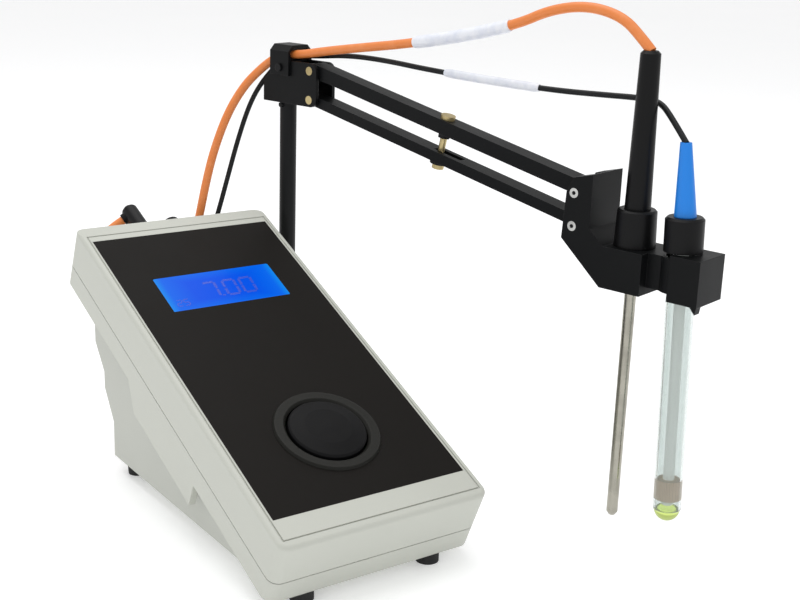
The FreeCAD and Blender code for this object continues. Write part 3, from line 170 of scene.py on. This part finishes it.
def make_moulded():
    """Moulded plastic: fine spark grain, faint mottling, and softened edges, lightened in colour by a painted
    highlight and made smoother by rubbing.
    """
    takes = [
        ("Colour", "colour", (0.5, 0.5, 0.5, 1)), ("Mottle", "value", 0.05), ("Grain per mm", "value", 3.0),
        ("Grain depth", "value", 0.2), ("Roughness", "value", 0.45), ("Edge mm", "value", 0.3),
        ("Edge highlight and wear", "value", 0.1),
    ]
    gives = [("Colour", "colour"), ("Roughness", "value"), ("Normal", "normal")]
    made, tree, take, give = group("moulded_plastic", takes, gives)
    place = tree.add("TexCoord").outputs["Object"]
    per_metre = tree.math("MULTIPLY", take["Grain per mm"], 1000.0)
    grain = tree.add("TexNoise", {"Vector": place, "Scale": per_metre, "Detail": 3.0, "Roughness": 0.6})
    pits = tree.add("TexVoronoi", {"Vector": place, "Scale": per_metre, "Randomness": 1.0})
    clouds = tree.add("TexNoise", {"Vector": place, "Scale": 34.0, "Detail": 4.0})
    height = tree.math("ADD", grain.outputs[0], tree.math("MULTIPLY", pits.outputs["Distance"], 0.6))
    radius = tree.math("MULTIPLY", take["Edge mm"], MM)
    soft = tree.add("Bevel", {"Radius": radius}, samples=4).outputs[0]
    flat = tree.add("NewGeometry").outputs["Normal"]
    relief = {"Strength": take["Grain depth"], "Distance": 0.00006, "Height": height, "Normal": soft}
    bump = tree.add("Bump", relief)
    tree.join(bump.outputs[0], give["Normal"])
    straight = tree.add("VectorMath", {0: soft, 1: flat}, operation="DOT_PRODUCT").outputs["Value"]
    # Painted highlight: this edge mask lightens the colour along edges; its drop in roughness below is rubbed
    # wear.
    edge = tree.math("MULTIPLY", tree.math("SUBTRACT", 1.0, straight), 6.0, clamp=True)
    edge = tree.math("MULTIPLY", edge, take["Edge highlight and wear"])
    cloud = tree.math("MULTIPLY", tree.math("SUBTRACT", clouds.outputs[0], 0.5), take["Mottle"])
    bright = tree.math("ADD", 1.0, tree.math("ADD", cloud, edge))
    shade = tree.add("VectorMath", {0: take["Colour"]}, operation="SCALE")
    tree.join(bright, shade.inputs["Scale"])
    tree.join(shade.outputs[0], give["Colour"])
    rough = tree.math("ADD", take["Roughness"], tree.math("MULTIPLY", cloud, 1.5))
    worn = tree.math("SUBTRACT", rough, tree.math("MULTIPLY", edge, 0.6), clamp=True)
    tree.join(worn, give["Roughness"])
    return made


def make_brushed():
    """Drawn or turned metal: fine streaks along one direction, with dull patches."""
    takes = [
        ("Colour", "colour", (0.5, 0.5, 0.5, 1)), ("Dull", "colour", (0.3, 0.3, 0.3, 1)),
        ("Roughness", "value", 0.25), ("Streak depth", "value", 0.15),
    ]
    gives = [("Colour", "colour"), ("Roughness", "value"), ("Normal", "normal")]
    made, tree, take, give = group("brushed_metal", takes, gives)
    place = tree.add("TexCoord").outputs["Object"]
    stretch = tree.add("Mapping", {"Vector": place, "Scale": (2200.0, 2200.0, 60.0)}).outputs[0]
    streaks = tree.add("TexNoise", {"Vector": stretch, "Scale": 1.0, "Detail": 2.0}).outputs[0]
    clouds = tree.add("TexNoise", {"Vector": place, "Scale": 90.0, "Detail": 5.0}).outputs[0]
    patch = tree.math("MULTIPLY", tree.ramp(clouds, [(0.42, 0.0), (0.7, 1.0)]), 0.45)
    tree.join(tree.mix(patch, take["Colour"], take["Dull"]), give["Colour"])
    swing = tree.math("MULTIPLY", tree.math("SUBTRACT", streaks, 0.5), 0.25)
    rough = tree.math("ADD", take["Roughness"], tree.math("ADD", swing, tree.math("MULTIPLY", patch, 0.3)))
    tree.join(rough, give["Roughness"])
    bump = tree.add("Bump", {"Strength": take["Streak depth"], "Distance": 0.00002, "Height": streaks})
    tree.join(bump.outputs[0], give["Normal"])
    return made


def make_sheath():
    """Extruded flexible sheath: long soft scuffs and a faint orange-peel skin."""
    takes = [
        ("Colour", "colour", (0.5, 0.5, 0.5, 1)), ("Scuff", "colour", (0.6, 0.6, 0.6, 1)),
        ("Roughness", "value", 0.4),
    ]
    gives = [("Colour", "colour"), ("Roughness", "value"), ("Normal", "normal")]
    made, tree, take, give = group("extruded_sheath", takes, gives)
    place = tree.add("TexCoord").outputs["Object"]
    rubbed = {"Vector": place, "Scale": 160.0, "Detail": 6.0, "Roughness": 0.7}
    scuffs = tree.add("TexNoise", rubbed).outputs[0]
    peel = tree.add("TexNoise", {"Vector": place, "Scale": 1400.0, "Detail": 1.0}).outputs[0]
    mask = tree.math("MULTIPLY", tree.ramp(scuffs, [(0.5, 0.0), (0.75, 1.0)]), 0.35)
    tree.join(tree.mix(mask, take["Colour"], take["Scuff"]), give["Colour"])
    tree.join(tree.math("ADD", take["Roughness"], tree.math("MULTIPLY", mask, 0.5)), give["Roughness"])
    bump = tree.add("Bump", {"Strength": 0.25, "Distance": 0.00005, "Height": peel})
    tree.join(bump.outputs[0], give["Normal"])
    return made


MOULDED = make_moulded()
BRUSHED = make_brushed()
SHEATH = make_sheath()


# ---------------------------------------------------------------- materials
def blank(name, **sockets):
    """A material with a Principled shader, and its Tree and shader."""
    made = bpy.data.materials.new(name)
    made.use_nodes = True
    tree = Tree(made.node_tree)
    shader = made.node_tree.nodes["Principled BSDF"]
    for label, value in sockets.items():
        shader.inputs[label.replace("_", " ")].default_value = value
    return made, tree, shader


def finish_with(name, kind, takes, **sockets):
    """A material whose colour, roughness and normal come from one of the finish groups."""
    made, tree, shader = blank(name, **sockets)
    placed = tree.add("Group", node_tree=kind)
    for label, value in takes.items():
        placed.inputs[label].default_value = value
    for source, target in (("Colour", "Base Color"), ("Roughness", "Roughness"), ("Normal", "Normal")):
        tree.join(placed.outputs[source], shader.inputs[target])
    return made


# The last setting scales a painted highlight along edges together with their rubbed wear.
def moulded(name, colour, roughness, per_mm, depth, mottle=0.06, edge=0.3, highlight_and_wear=0.1, **sockets):
    takes = {
        "Colour": srgb(colour), "Mottle": mottle, "Grain per mm": per_mm, "Grain depth": depth,
        "Roughness": roughness, "Edge mm": edge, "Edge highlight and wear": highlight_and_wear,
    }
    return finish_with(name, MOULDED, takes, **sockets)


def brushed(name, colour, dull, roughness, depth=0.15, **sockets):
    takes = {"Colour": srgb(colour), "Dull": srgb(dull), "Roughness": roughness, "Streak depth": depth}
    return finish_with(name, BRUSHED, takes, Metallic=1.0, **sockets)


def sheath(name, colour, scuff, roughness, **sockets):
    takes = {"Colour": srgb(colour), "Scuff": srgb(scuff), "Roughness": roughness}
    return finish_with(name, SHEATH, takes, **sockets)


case_grey = moulded("case_grey", "C3C5BC", 0.5, 2.6, 0.35, mottle=0.05, edge=0.5, highlight_and_wear=0.06)
stand_grey = moulded("stand_grey", "BDBFB7", 0.55, 2.2, 0.45, mottle=0.06, edge=0.6, highlight_and_wear=0.05)
overlay_film = moulded(
    "overlay_film", "1B1917", 0.45, 5.0, 0.3, mottle=0.12, edge=0.15, highlight_and_wear=0.4, Specular_IOR_Level=0.06
)
button_black = moulded(
    "button_black", "131314", 0.5, 4.0, 0.5, mottle=0.1, edge=0.6, highlight_and_wear=0.5, Specular_IOR_Level=0.1
)
ring_black = moulded(
    "ring_black", "20201D", 0.42, 4.0, 0.4, mottle=0.1, edge=0.5, highlight_and_wear=0.6, Specular_IOR_Level=0.16
)
arm_black = moulded(
    "arm_black", "101112", 0.42, 3.0, 0.35, mottle=0.14, edge=0.35, highlight_and_wear=1.2, Specular_IOR_Level=0.12
)
grip_black = moulded(
    "grip_black", "101011", 0.36, 2.4, 0.3, mottle=0.1, edge=0.4, highlight_and_wear=0.6, Specular_IOR_Level=0.16
)
mast_black = moulded(
    "mast_black", "131415", 0.36, 4.5, 0.25, mottle=0.1, edge=0.3, highlight_and_wear=0.8, Specular_IOR_Level=0.16
)
plate_black = moulded(
    "plate_black", "202123", 0.55, 1.6, 0.8, mottle=0.12, edge=0.5, highlight_and_wear=0.9, Specular_IOR_Level=0.35
)
foot_rubber = moulded("foot_rubber", "19191A", 0.75, 3.5, 0.6, mottle=0.2, edge=0.5, highlight_and_wear=0.3)
relief_blue = moulded("relief_blue", "0C82E4", 0.36, 3.0, 0.15, mottle=0.08, edge=0.4, highlight_and_wear=0.15)
board_green = moulded("board_green", "1C5A34", 0.4, 6.0, 0.3, mottle=0.3)
band_tan = moulded("band_tan", "E8D6C3", 0.6, 6.0, 0.6, mottle=0.25)
# The stem's faint emission is a painted glow, standing in for light that the glass tube's shadows keep off
# it.
stem_white = moulded(
    "stem_white", "F0F1EE", 0.35, 3.0, 0.1, mottle=0.05, Emission_Color=srgb("F0F1EE"), Emission_Strength=0.22
)
steel = brushed("probe_steel", "A6A398", "7C7A72", 0.24)
screw_steel = brushed("screw_steel", "C9C9C6", "8E8E8C", 0.3)
pin_brass = brushed("pin_brass", "C2B183", "8A7A55", 0.38)
lead_orange = sheath("lead_orange", "E98642", "F2A672", 0.42)
lead_black = sheath("lead_black", "141617", "393B3D", 0.42, Specular_IOR_Level=0.25)


def make_glass(name, colour, roughness=0.0):
    made, tree, shader = blank(name, Metallic=0.0, IOR=1.45, Transmission_Weight=1.0)
    place = tree.add("TexCoord").outputs["Object"]
    waves = tree.add("TexNoise", {"Vector": place, "Scale": 120.0, "Detail": 1.0}).outputs[0]
    bump = tree.add("Bump", {"Strength": 0.08, "Distance": 0.0001, "Height": waves})
    tree.join(bump.outputs[0], shader.inputs["Normal"])
    smears = tree.ramp(waves, [(0.55, 0.0), (0.8, 1.0)])
    smear = tree.math("ADD", roughness, tree.math("MULTIPLY", smears, 0.05))
    tree.join(smear, shader.inputs["Roughness"])
    shader.inputs["Base Color"].default_value = srgb(colour)
    return made


tube_glass = make_glass("tube_glass", "DEE4E2")
bulb_glass = make_glass("bulb_glass", "CFE27A", 0.08)


def make_label():
    """Plain vinyl sleeve with faint creases."""
    made, tree, shader = blank("label_white", Coat_Weight=0.2)
    place = tree.add("TexCoord").outputs["Object"]
    crease = tree.add("TexNoise", {"Vector": place, "Scale": 260.0, "Detail": 4.0}).outputs[0]
    colour = tree.mix(tree.ramp(crease, [(0.4, 0.0), (0.75, 1.0)]), srgb("EEF0F6"), srgb("DCE0EC"))
    tree.join(colour, shader.inputs["Base Color"])
    tree.join(tree.math("ADD", 0.3, tree.math("MULTIPLY", crease, 0.2)), shader.inputs["Roughness"])
    bump = tree.add("Bump", {"Strength": 0.12, "Distance": 0.00005, "Height": crease})
    tree.join(bump.outputs[0], shader.inputs["Normal"])
    return made


def make_display():
    """Back-lit blue display, brighter towards its edges, with a faint dot grid."""
    made, tree, shader = blank("display_blue", Emission_Strength=0.85, Specular_IOR_Level=0.06)
    place = tree.add("TexCoord").outputs["UV"]
    parts = tree.add("SeparateXYZ", {0: place}).outputs
    off_x = tree.math("ABSOLUTE", tree.math("SUBTRACT", parts["X"], 0.5))
    off_y = tree.math("ABSOLUTE", tree.math("SUBTRACT", parts["Y"], 0.5))
    far = tree.math("MAXIMUM", off_x, tree.math("MULTIPLY", off_y, 0.9))
    colour = tree.ramp(far, [(0.25, srgb("005CFB")), (0.44, srgb("0070FF")), (0.5, srgb("0094FF"))])
    grid = tree.add("TexChecker", {"Vector": place, "Scale": 160.0}).outputs["Fac"]
    colour = tree.mix(tree.math("MULTIPLY", grid, 0.06), colour, srgb("0030A0"))
    tree.join(colour, shader.inputs["Emission Color"])
    shader.inputs["Base Color"].default_value = srgb("01081E")
    tree.join(tree.math("ADD", 0.16, tree.math("MULTIPLY", grid, 0.05)), shader.inputs["Roughness"])
    return made


label_white = make_label()
display_blue = make_display()
digit_ink = moulded(
    "digit_ink", "0A2C86", 0.3, 8.0, 0.1, mottle=0.2, Emission_Color=srgb("0A40C0"), Emission_Strength=0.75
)


NODE_FINISHES = {
    "upper_shell": case_grey, "lower_tray": case_grey, "desk_stand": stand_grey, "board_posts": case_grey,
    "case_screws": screw_steel, "stand_screws": screw_steel, "base_screws": screw_steel,
    "clip_screws": mast_black, "collar_screw": screw_steel, "mast_stop_pin": mast_black,
    "head_pins": screw_steel, "button_spring": screw_steel, "block_pins": pin_brass,
    "tension_screw": pin_brass, "electrode_socket": pin_brass,
    "front_overlay": overlay_film, "button_ring": ring_black, "button_cap": button_black,
    "display_module": board_green, "display_riser": board_green, "main_board": board_green,
    "button_switch": arm_black, "front_feet": foot_rubber, "rear_feet": foot_rubber,
    "base_pads": foot_rubber, "base_plate": plate_black, "base_spacers": arm_black,
    "mast_collar": mast_black, "mast": mast_black, "pivot_block": arm_black, "cable_clip": arm_black,
    "upper_arm": arm_black, "lower_arm": arm_black, "tension_nut": mast_black,
    "tension_washer": mast_black, "electrode_head": arm_black, "probe_bush": grip_black,
    "probe_handle": grip_black, "probe_rod": steel, "electrode_cap": grip_black,
    "strain_relief": relief_blue, "electrode_tube": tube_glass, "electrode_stem": stem_white,
    "junction_band": band_tan, "electrode_bulb": bulb_glass, "temp_socket": grip_black,
    "power_socket": grip_black, "temp_plug": grip_black, "electrode_plug": grip_black,
}
for name, finish in NODE_FINISHES.items():
    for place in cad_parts[name].material_slots:
        place.material = finish


# ---------------------------------------------------------------- building helpers
def link(name, mesh, finish, body):
    """Puts a mesh in the scene as a finished piece on a body."""
    made = bpy.data.objects.new(name, mesh)
    bpy.context.collection.objects.link(made)
    mesh.materials.append(finish)
    if body:
        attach(made, body)
    return made


def smooth(mesh, angle=40):
    for face in mesh.polygons:
        face.use_smooth = True
    mesh.set_sharp_from_angle(angle=math.radians(angle))


# ---------------------------------------------------------------- leads
TUBE_SIDES = 20


def spline_points(name, points):
    """Points along the smooth line that a route of control points makes."""
    curve = bpy.data.curves.new(f"{name}_route", "CURVE")
    curve.dimensions = "3D"
    curve.resolution_u = 14
    line = curve.splines.new("NURBS")
    line.points.add(len(points) - 1)
    for spot, point in zip(line.points, points):
        spot.co = (*point, 1)
    line.order_u = 3
    line.use_endpoint_u = True
    holder = bpy.data.objects.new(f"{name}_route", curve)
    bpy.context.collection.objects.link(holder)
    bpy.context.view_layer.update()
    mesh = bpy.data.meshes.new_from_object(holder)
    read = [Vector(v.co) for v in mesh.vertices]
    bpy.data.objects.remove(holder)
    bpy.data.curves.remove(curve)
    bpy.data.meshes.remove(mesh)
    return read


def tube_mesh(name, points, radii):
    """A closed round tube along points, one radius each, its rings turned as little as possible."""
    mesh = bpy.data.meshes.new(name)
    build = bmesh.new()
    count = len(points)
    tangents = []
    for i in range(count):
        tangents.append((points[min(i + 1, count - 1)] - points[max(i - 1, 0)]).normalized())
    side = tangents[0].orthogonal().normalized()
    rings = []
    for point, tangent, reach in zip(points, tangents, radii):
        side = (side - tangent * side.dot(tangent)).normalized()
        other = tangent.cross(side)
        ring = []
        for k in range(TUBE_SIDES):
            angle = 2 * math.pi * k / TUBE_SIDES
            ring.append(build.verts.new(point + reach * (math.cos(angle) * side + math.sin(angle) * other)))
        rings.append(ring)
    for first, second in zip(rings, rings[1:]):
        for k in range(TUBE_SIDES):
            following = (k + 1) % TUBE_SIDES
            build.faces.new((first[k], first[following], second[following], second[k]))
    build.faces.new(list(reversed(rings[0])))
    build.faces.new(rings[-1])
    build.to_mesh(mesh)
    build.free()
    smooth(mesh, 50)
    return mesh


def part_of(points, start, end):
    """The points between two places, each the nearest of the line's points to a given spot."""
    first = min(range(len(points)), key=lambda i: (points[i] - start).length)
    last = min(range(len(points)), key=lambda i: (points[i] - end).length)
    return points[first:last + 1]


def lead_piece(name, points, diameter, finish):
    """One stretch of a lead, baked into place in the world and set on no body."""
    made = link(name, tube_mesh(name, points, [diameter / 2] * len(points)), finish, None)
    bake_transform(made)
    return made


def heading(across, droop):
    """A direction in the plane of the case's rear wall, an angle below the horizontal to one side."""
    angle = math.radians(droop)
    return Vector((across * math.cos(angle), 0, -math.sin(angle)))


def stepped(start, headings, step):
    spots = [Vector(start)]
    for direction in headings:
        spots.append(spots[-1] + step * direction)
    return [in_case(*spot) for spot in spots]


TEMP_DIAMETER = 4.3 * MM
PH_DIAMETER = 2.5 * MM
SLEEVE_SKIN = 0.75 * MM
SLEEVE_EDGE = 0.35 * MM
TEMP_SPLIT = in_arm(5.0, 2.3, 193.3)
PH_SPLIT = in_arm(5.0, -3.1, 192.4)


# for each plug: its socket across and out of the case, its boot's reach, and how far behind the flange
# its lead comes out
REAR_WALL_T = 198.0
SOCKET_FLANGE = 1.2
TEMP_SOCKET = (-12.5, -8.8)
TEMP_BOOT = 4.0 + 1.2
TEMP_EXIT = 15.0
PH_SOCKET = (6.0, -12.4)
PH_BOOT = 4.8 + 7.0
PH_EXIT = 4.6


def plug_exit(socket, boot, exit_t, out):
    """Where a lead leaves its plug's boot, in the case's own frame."""
    return (socket[0] + boot * out.x, REAR_WALL_T + SOCKET_FLANGE + exit_t, socket[1] + boot * out.z)


def temp_routes():
    start = plug_exit(TEMP_SOCKET, TEMP_BOOT, TEMP_EXIT, heading(-1, 35))
    rear = stepped(start, [heading(-1, 35), heading(-1, 57), heading(-1, 79)], 7)
    rear += [
        at(-28.5, 141.5, 82.0), at(-27.0, 143.0, 65.0), at(-17.0, 143.0, 51.0), at(-1.0, 142.0, 46.0),
        at(13.0, 140.5, 55.0), at(20.0, 139.0, 73.0), at(22.0, 136.8, 94.0), at(24.6, 133.5, 112.0),
        at(29.0, 135.0, 127.6), at(34.2, 136.5, 142.6), at(41.4, 135.5, 161.0), at(49.4, 132.5, 175.2),
        at(56.2, 127.5, 184.0), in_arm(-8.2, 2.5, 189.9), in_arm(-0.5, 2.4, 192.95), TEMP_SPLIT,
    ]
    front = [
        TEMP_SPLIT, in_arm(11.6, 2.2, 193.72), in_arm(26.0, 1.9, 196.7), in_arm(52.0, 1.7, 200.9),
        in_arm(78.0, 1.4, 204.9), in_arm(111.0, 1.1, 211.3), in_arm(140.0, 0.7, 218.6),
        in_arm(157.5, 0.5, 226.3), in_arm(176.0, 0.3, 229.2), in_arm(192.5, 0.0, 225.8),
        in_arm(202.3, 0.0, 217.8), in_arm(206.9, 0.0, 213.4),
    ]
    return rear, front


def ph_routes():
    start = plug_exit(PH_SOCKET, PH_BOOT, PH_EXIT, heading(1, 78))
    rear = stepped(start, [heading(1, 78)], 9)
    rear += [
        at(10.4, 136.6, 76.5), at(10.4, 135.2, 66.2), at(15.7, 134.6, 60.7), at(23.3, 134.6, 60.7),
        at(28.8, 134.6, 66.2), at(29.2, 134.9, 77.0), at(29.6, 134.6, 88.5), at(30.8, 132.6, 100.5),
        at(33.4, 130.0, 112.5), at(39.4, 132.0, 128.0), at(46.0, 133.0, 147.4), at(52.2, 132.0, 165.4),
        at(57.2, 128.6, 176.8), in_arm(-9.8, -1.6, 186.9), in_arm(-2.0, -3.1, 192.1), PH_SPLIT,
    ]
    front = [
        PH_SPLIT, in_arm(14.0, -3.1, 192.786), in_arm(38.0, -3.0, 195.6), in_arm(62.0, -3.1, 195.5),
        in_arm(88.0, -3.6, 193.8), in_arm(122.0, -5.1, 192.4), in_arm(156.0, -7.6, 191.6),
        in_arm(180.0, -9.6, 192.2), in_arm(198.0, -9.8, 193.0), in_arm(208.66, -7.0, 192.85),
        in_arm(216.76, -3.0, 187.95), in_arm(226.2, 0.1, 179.0),
    ]
    return rear, front


def make_lead(prefix, routes, diameter, finish, sleeve, apex):
    """A whole lead: from its plug to the clip, over the arm in three stretches, and its plain sleeve."""
    rear = spline_points(f"{prefix}_rear", routes[0])
    front = spline_points(f"{prefix}_arm", routes[1])
    piece = lead_piece(
        f"{prefix}_lead_to_clip", rear, diameter, finish
    )
    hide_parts(f"{prefix}_lead_rear")
    middle = (sleeve[0] + sleeve[1]) / 2
    over_arm = part_of(front, routes[1][0], in_arm(middle, 0, sleeve[2]))
    piece = lead_piece(
        f"{prefix}_lead_over_arm", over_arm, diameter, finish,
    )
    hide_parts(f"{prefix}_lead_arm")
    to_head = part_of(front, over_arm[-1], apex)
    lead_piece(
        f"{prefix}_lead_to_head", to_head, diameter, finish
    )
    to_probe = part_of(front, to_head[-1], routes[1][-1])
    lead_piece(
        f"{prefix}_lead_to_probe", to_probe, diameter, finish,
    )
    wrap = part_of(front, in_arm(sleeve[0], 0, sleeve[2] - 4), in_arm(sleeve[1], 0, sleeve[2] + 4))
    radii = [diameter / 2 + SLEEVE_SKIN] * len(wrap)
    for end in (0, -1):
        radii[end] = diameter / 2 + SLEEVE_EDGE
    name = f"{prefix}_sleeve"
    tag = link(name, tube_mesh(name, wrap, radii), label_white, None)
    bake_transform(tag)
    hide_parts(f"{prefix}_label")


make_lead(
    "temp", temp_routes(), TEMP_DIAMETER, lead_orange, (84, 138, 211.5),
    in_arm(160.0, 0.5, 226.5),
)
make_lead(
    "ph", ph_routes(), PH_DIAMETER, lead_black, (97.5, 148.5, 192.6),
    in_arm(170.0, -8.8, 191.8),
)


# ---------------------------------------------------------------- display
def rounded_slab(name, x, t, width, length, radius, low, high):
    """A thin rounded rectangle on the case's face, with UVs across its top."""
    mesh = bpy.data.meshes.new(name)
    build = bmesh.new()
    spots = []
    corners = [(1, 1, 0), (-1, 1, 90), (-1, -1, 180), (1, -1, 270)]
    for side, end, first in corners:
        for step in range(5):
            angle = math.radians(first + 22.5 * step)
            spots.append((
                x + side * (width / 2 - radius) + radius * math.cos(angle),
                t + end * (length / 2 - radius) + radius * math.sin(angle),
            ))
    rings = [[build.verts.new(in_case(a, b, n)) for a, b in spots] for n in (low, high)]
    build.faces.new(list(reversed(rings[0])))
    build.faces.new(rings[1])
    for k in range(len(spots)):
        following = (k + 1) % len(spots)
        build.faces.new((rings[0][k], rings[0][following], rings[1][following], rings[1][k]))
    layer = build.loops.layers.uv.new("across")
    for face in build.faces:
        for loop in face.loops:
            spot = CASE.inverted() @ loop.vert.co / MM
            loop[layer].uv = ((spot.x - x) / width + 0.5, (spot.y - t) / length + 0.5)
    build.to_mesh(mesh)
    build.free()
    return mesh


WINDOW_T = 139.5
SCREEN_SIZE = (60, 24.5)
SCREEN_CORNER = 0.8
SCREEN_DEPTHS = (-0.8, -0.05)
screen_mesh = rounded_slab("display_screen", 0, WINDOW_T, *SCREEN_SIZE, SCREEN_CORNER, *SCREEN_DEPTHS)
screen = link("display_screen", screen_mesh, display_blue, "stand")
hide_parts("display_window")

SEGMENTS = {"0": "abcdef", "2": "abged", "5": "afgcd", "7": "abc"}
# each digit, with its left edge, its foot above the large digits' foot, its width and its height
DIGITS = [
    ("7", -9.0, 0.0, 6.0, 10.5),
    ("0", 1.2, 0.0, 6.0, 10.5),
    ("0", 10.0, 0.0, 6.0, 10.5),
    ("2", -25.5, -3.0, 2.4, 4.2),
    ("5", -22.0, -3.0, 2.4, 4.2),
]
DIGIT_FOOT = -6.0
DIGIT_SLANT = 0.08
DIGIT_DEPTHS = (-0.06, -0.01)
STROKE_SHARE = 0.13
STROKE_GAP = 0.3
# the decimal point's place across, its foot and top from the window's middle, and its width
POINT = (-1.2, -6.6, -5.0, 1.4)


def add_bar(build, x0, t0, x1, t1, thick):
    """One flat stroke of a digit, its top a hair above the screen."""
    along = Vector((x1 - x0, t1 - t0)).normalized()
    across = Vector((-along.y, along.x)) * thick / 2
    gap = along * thick * STROKE_GAP
    ends = [Vector((x0, t0)) + gap, Vector((x1, t1)) - gap]
    spots = [ends[0] + across, ends[0] - across, ends[1] - across, ends[1] + across]
    rings = []
    for n in DIGIT_DEPTHS:
        rings.append([build.verts.new(in_case(p.x + DIGIT_SLANT * (p.y - WINDOW_T), p.y, n)) for p in spots])
    build.faces.new(rings[0])
    build.faces.new(list(reversed(rings[1])))
    for k in range(4):
        following = (k + 1) % 4
        build.faces.new((rings[0][following], rings[0][k], rings[1][k], rings[1][following]))


def make_digits():
    mesh = bpy.data.meshes.new("display_digits")
    build = bmesh.new()
    for digit, x, raised, width, height in DIGITS:
        low = WINDOW_T + DIGIT_FOOT + raised
        middle, high = low + height / 2, low + height
        strokes = {
            "a": (x, high, x + width, high), "b": (x + width, middle, x + width, high),
            "c": (x + width, low, x + width, middle), "d": (x, low, x + width, low),
            "e": (x, low, x, middle), "f": (x, middle, x, high), "g": (x, middle, x + width, middle),
        }
        for name in SEGMENTS[digit]:
            add_bar(build, *strokes[name], height * STROKE_SHARE)
    point_x, point_low, point_high, point_wide = POINT
    add_bar(build, point_x, WINDOW_T + point_low, point_x, WINDOW_T + point_high, point_wide)
    bmesh.ops.recalc_face_normals(build, faces=build.faces)
    build.to_mesh(mesh)
    build.free()
    link("display_digits", mesh, digit_ink, "stand")


make_digits()


# ---------------------------------------------------------------- button spring, and painted socket shade on the pin heads
# the spring is in the case's frame, and the pins are in the arm's
BUTTON_T = 38.3
SPRING_TURNS = 6
SPRING_STEPS = 20
SPRING_LOW = -14.8
SPRING_HIGH = -6.6
SPRING_RADIUS = 4.5
SPRING_WIRE_RADIUS = 0.42 * MM
SPRING_DEAD_SHARE = 0.08
HEAD_PIN_SPOTS = ((182.2, 153.2), (182.2, 139.0))
PAINTED_SHADE_RINGS = ((11.38, 0.8), (11.53, 0.95))


def make_spring():
    total = SPRING_TURNS * SPRING_STEPS
    live_share = 1 - 2 * SPRING_DEAD_SHARE
    spots = []
    for step in range(total + 1):
        share = step / total
        angle = 2 * math.pi * SPRING_TURNS * share
        risen = min(1, max(0, (share - SPRING_DEAD_SHARE) / live_share))
        lift = SPRING_LOW + (SPRING_HIGH - SPRING_LOW) * risen
        across, along = SPRING_RADIUS * math.cos(angle), SPRING_RADIUS * math.sin(angle)
        spots.append(in_case(across, BUTTON_T + along, lift))
    wire = tube_mesh("button_coil", spots, [SPRING_WIRE_RADIUS] * len(spots))
    made = link("button_coil", wire, screw_steel, "stand")
    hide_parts("button_spring")
    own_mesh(made)


def make_painted_socket_shade():
    """Dark hexagon sheets on the heads of the holder's pins: painted shade standing in for the hollows of
    their sockets.
    """
    for number, spot in enumerate(HEAD_PIN_SPOTS):
        for side in (1, -1):
            mesh = bpy.data.meshes.new(f"painted_socket_shade_{number}_{side + 1}")
            build = bmesh.new()
            rings = []
            for depth, reach in PAINTED_SHADE_RINGS:
                ring = []
                for k in range(6):
                    angle = math.radians(60 * k)
                    along, up = spot[0] + reach * math.cos(angle), spot[1] + reach * math.sin(angle)
                    ring.append(build.verts.new(in_arm(along, side * depth, up)))
                rings.append(ring)
            build.faces.new(rings[0])
            build.faces.new(rings[1])
            for k in range(6):
                build.faces.new((rings[0][k], rings[0][(k + 1) % 6], rings[1][(k + 1) % 6], rings[1][k]))
            bmesh.ops.recalc_face_normals(build, faces=build.faces)
            build.to_mesh(mesh)
            build.free()
            # Each dark hexagon is painted shade for a socket hollow, laid on the pin head as a thin sheet.
            link(mesh.name, mesh, arm_black, "head")


make_spring()
make_painted_socket_shade()

# ---------------------------------------------------------------- floor, light and world
FLOOR_HALF = 20.0
WORLD_STRENGTH = 0.72
WORLD_SEEN_EXTRA = 0.33


def add_floor():
    mesh = bpy.data.meshes.new("floor")
    size = FLOOR_HALF
    corners = [(-size, -size, 0), (size, -size, 0), (size, size, 0), (-size, size, 0)]
    mesh.from_pydata(corners, [], [(0, 1, 2, 3)])
    floor = bpy.data.objects.new("floor", mesh)
    bpy.context.collection.objects.link(floor)
    made, tree, shader = blank(
        "pale_floor", Coat_Weight=0.35, Coat_Roughness=0.12, Specular_IOR_Level=0.3,
        Emission_Color=srgb("FFFFFF"), Emission_Strength=0.3,
    )
    place = tree.add("TexCoord").outputs["Object"]
    clouds = tree.add("TexNoise", {"Vector": place, "Scale": 3.0}).outputs[0]
    tree.join(tree.mix(clouds, srgb("FAFAFB"), srgb("F6F7F8")), shader.inputs["Base Color"])
    shader.inputs["Roughness"].default_value = 0.5
    mesh.materials.append(made)


def add_light(name, kind_size, power, place, target):
    data = bpy.data.lights.new(name, "AREA")
    data.shape = "RECTANGLE"
    data.size, data.size_y = kind_size
    data.energy = power
    lamp = bpy.data.objects.new(name, data)
    lamp.location = place
    lamp.rotation_euler = (Vector(target) - Vector(place)).to_track_quat("-Z", "Y").to_euler()
    bpy.context.collection.objects.link(lamp)


def add_world():
    world = bpy.data.worlds.new("studio")
    world.use_nodes = True
    bpy.context.scene.world = world
    tree = Tree(world.node_tree)
    world.node_tree.nodes.clear()
    seen = tree.add("LightPath").outputs["Is Camera Ray"]
    strength = tree.math("ADD", WORLD_STRENGTH, tree.math("MULTIPLY", seen, WORLD_SEEN_EXTRA))
    back = tree.add("Background", {"Color": (1, 1, 1, 1), "Strength": strength})
    out = tree.add("OutputWorld")
    tree.join(back.outputs[0], out.inputs["Surface"])


add_floor()
add_world()
add_light("overhead", (1.2, 1.2), 8.5, (0.0, 0.25, 1.3), (0, 0, 0.05))
add_light("front_left", (0.8, 0.9), 0.8, (-0.9, -0.9, 0.9), (0.02, 0, 0.08))
bpy.context.scene.view_settings.view_transform = "Standard"
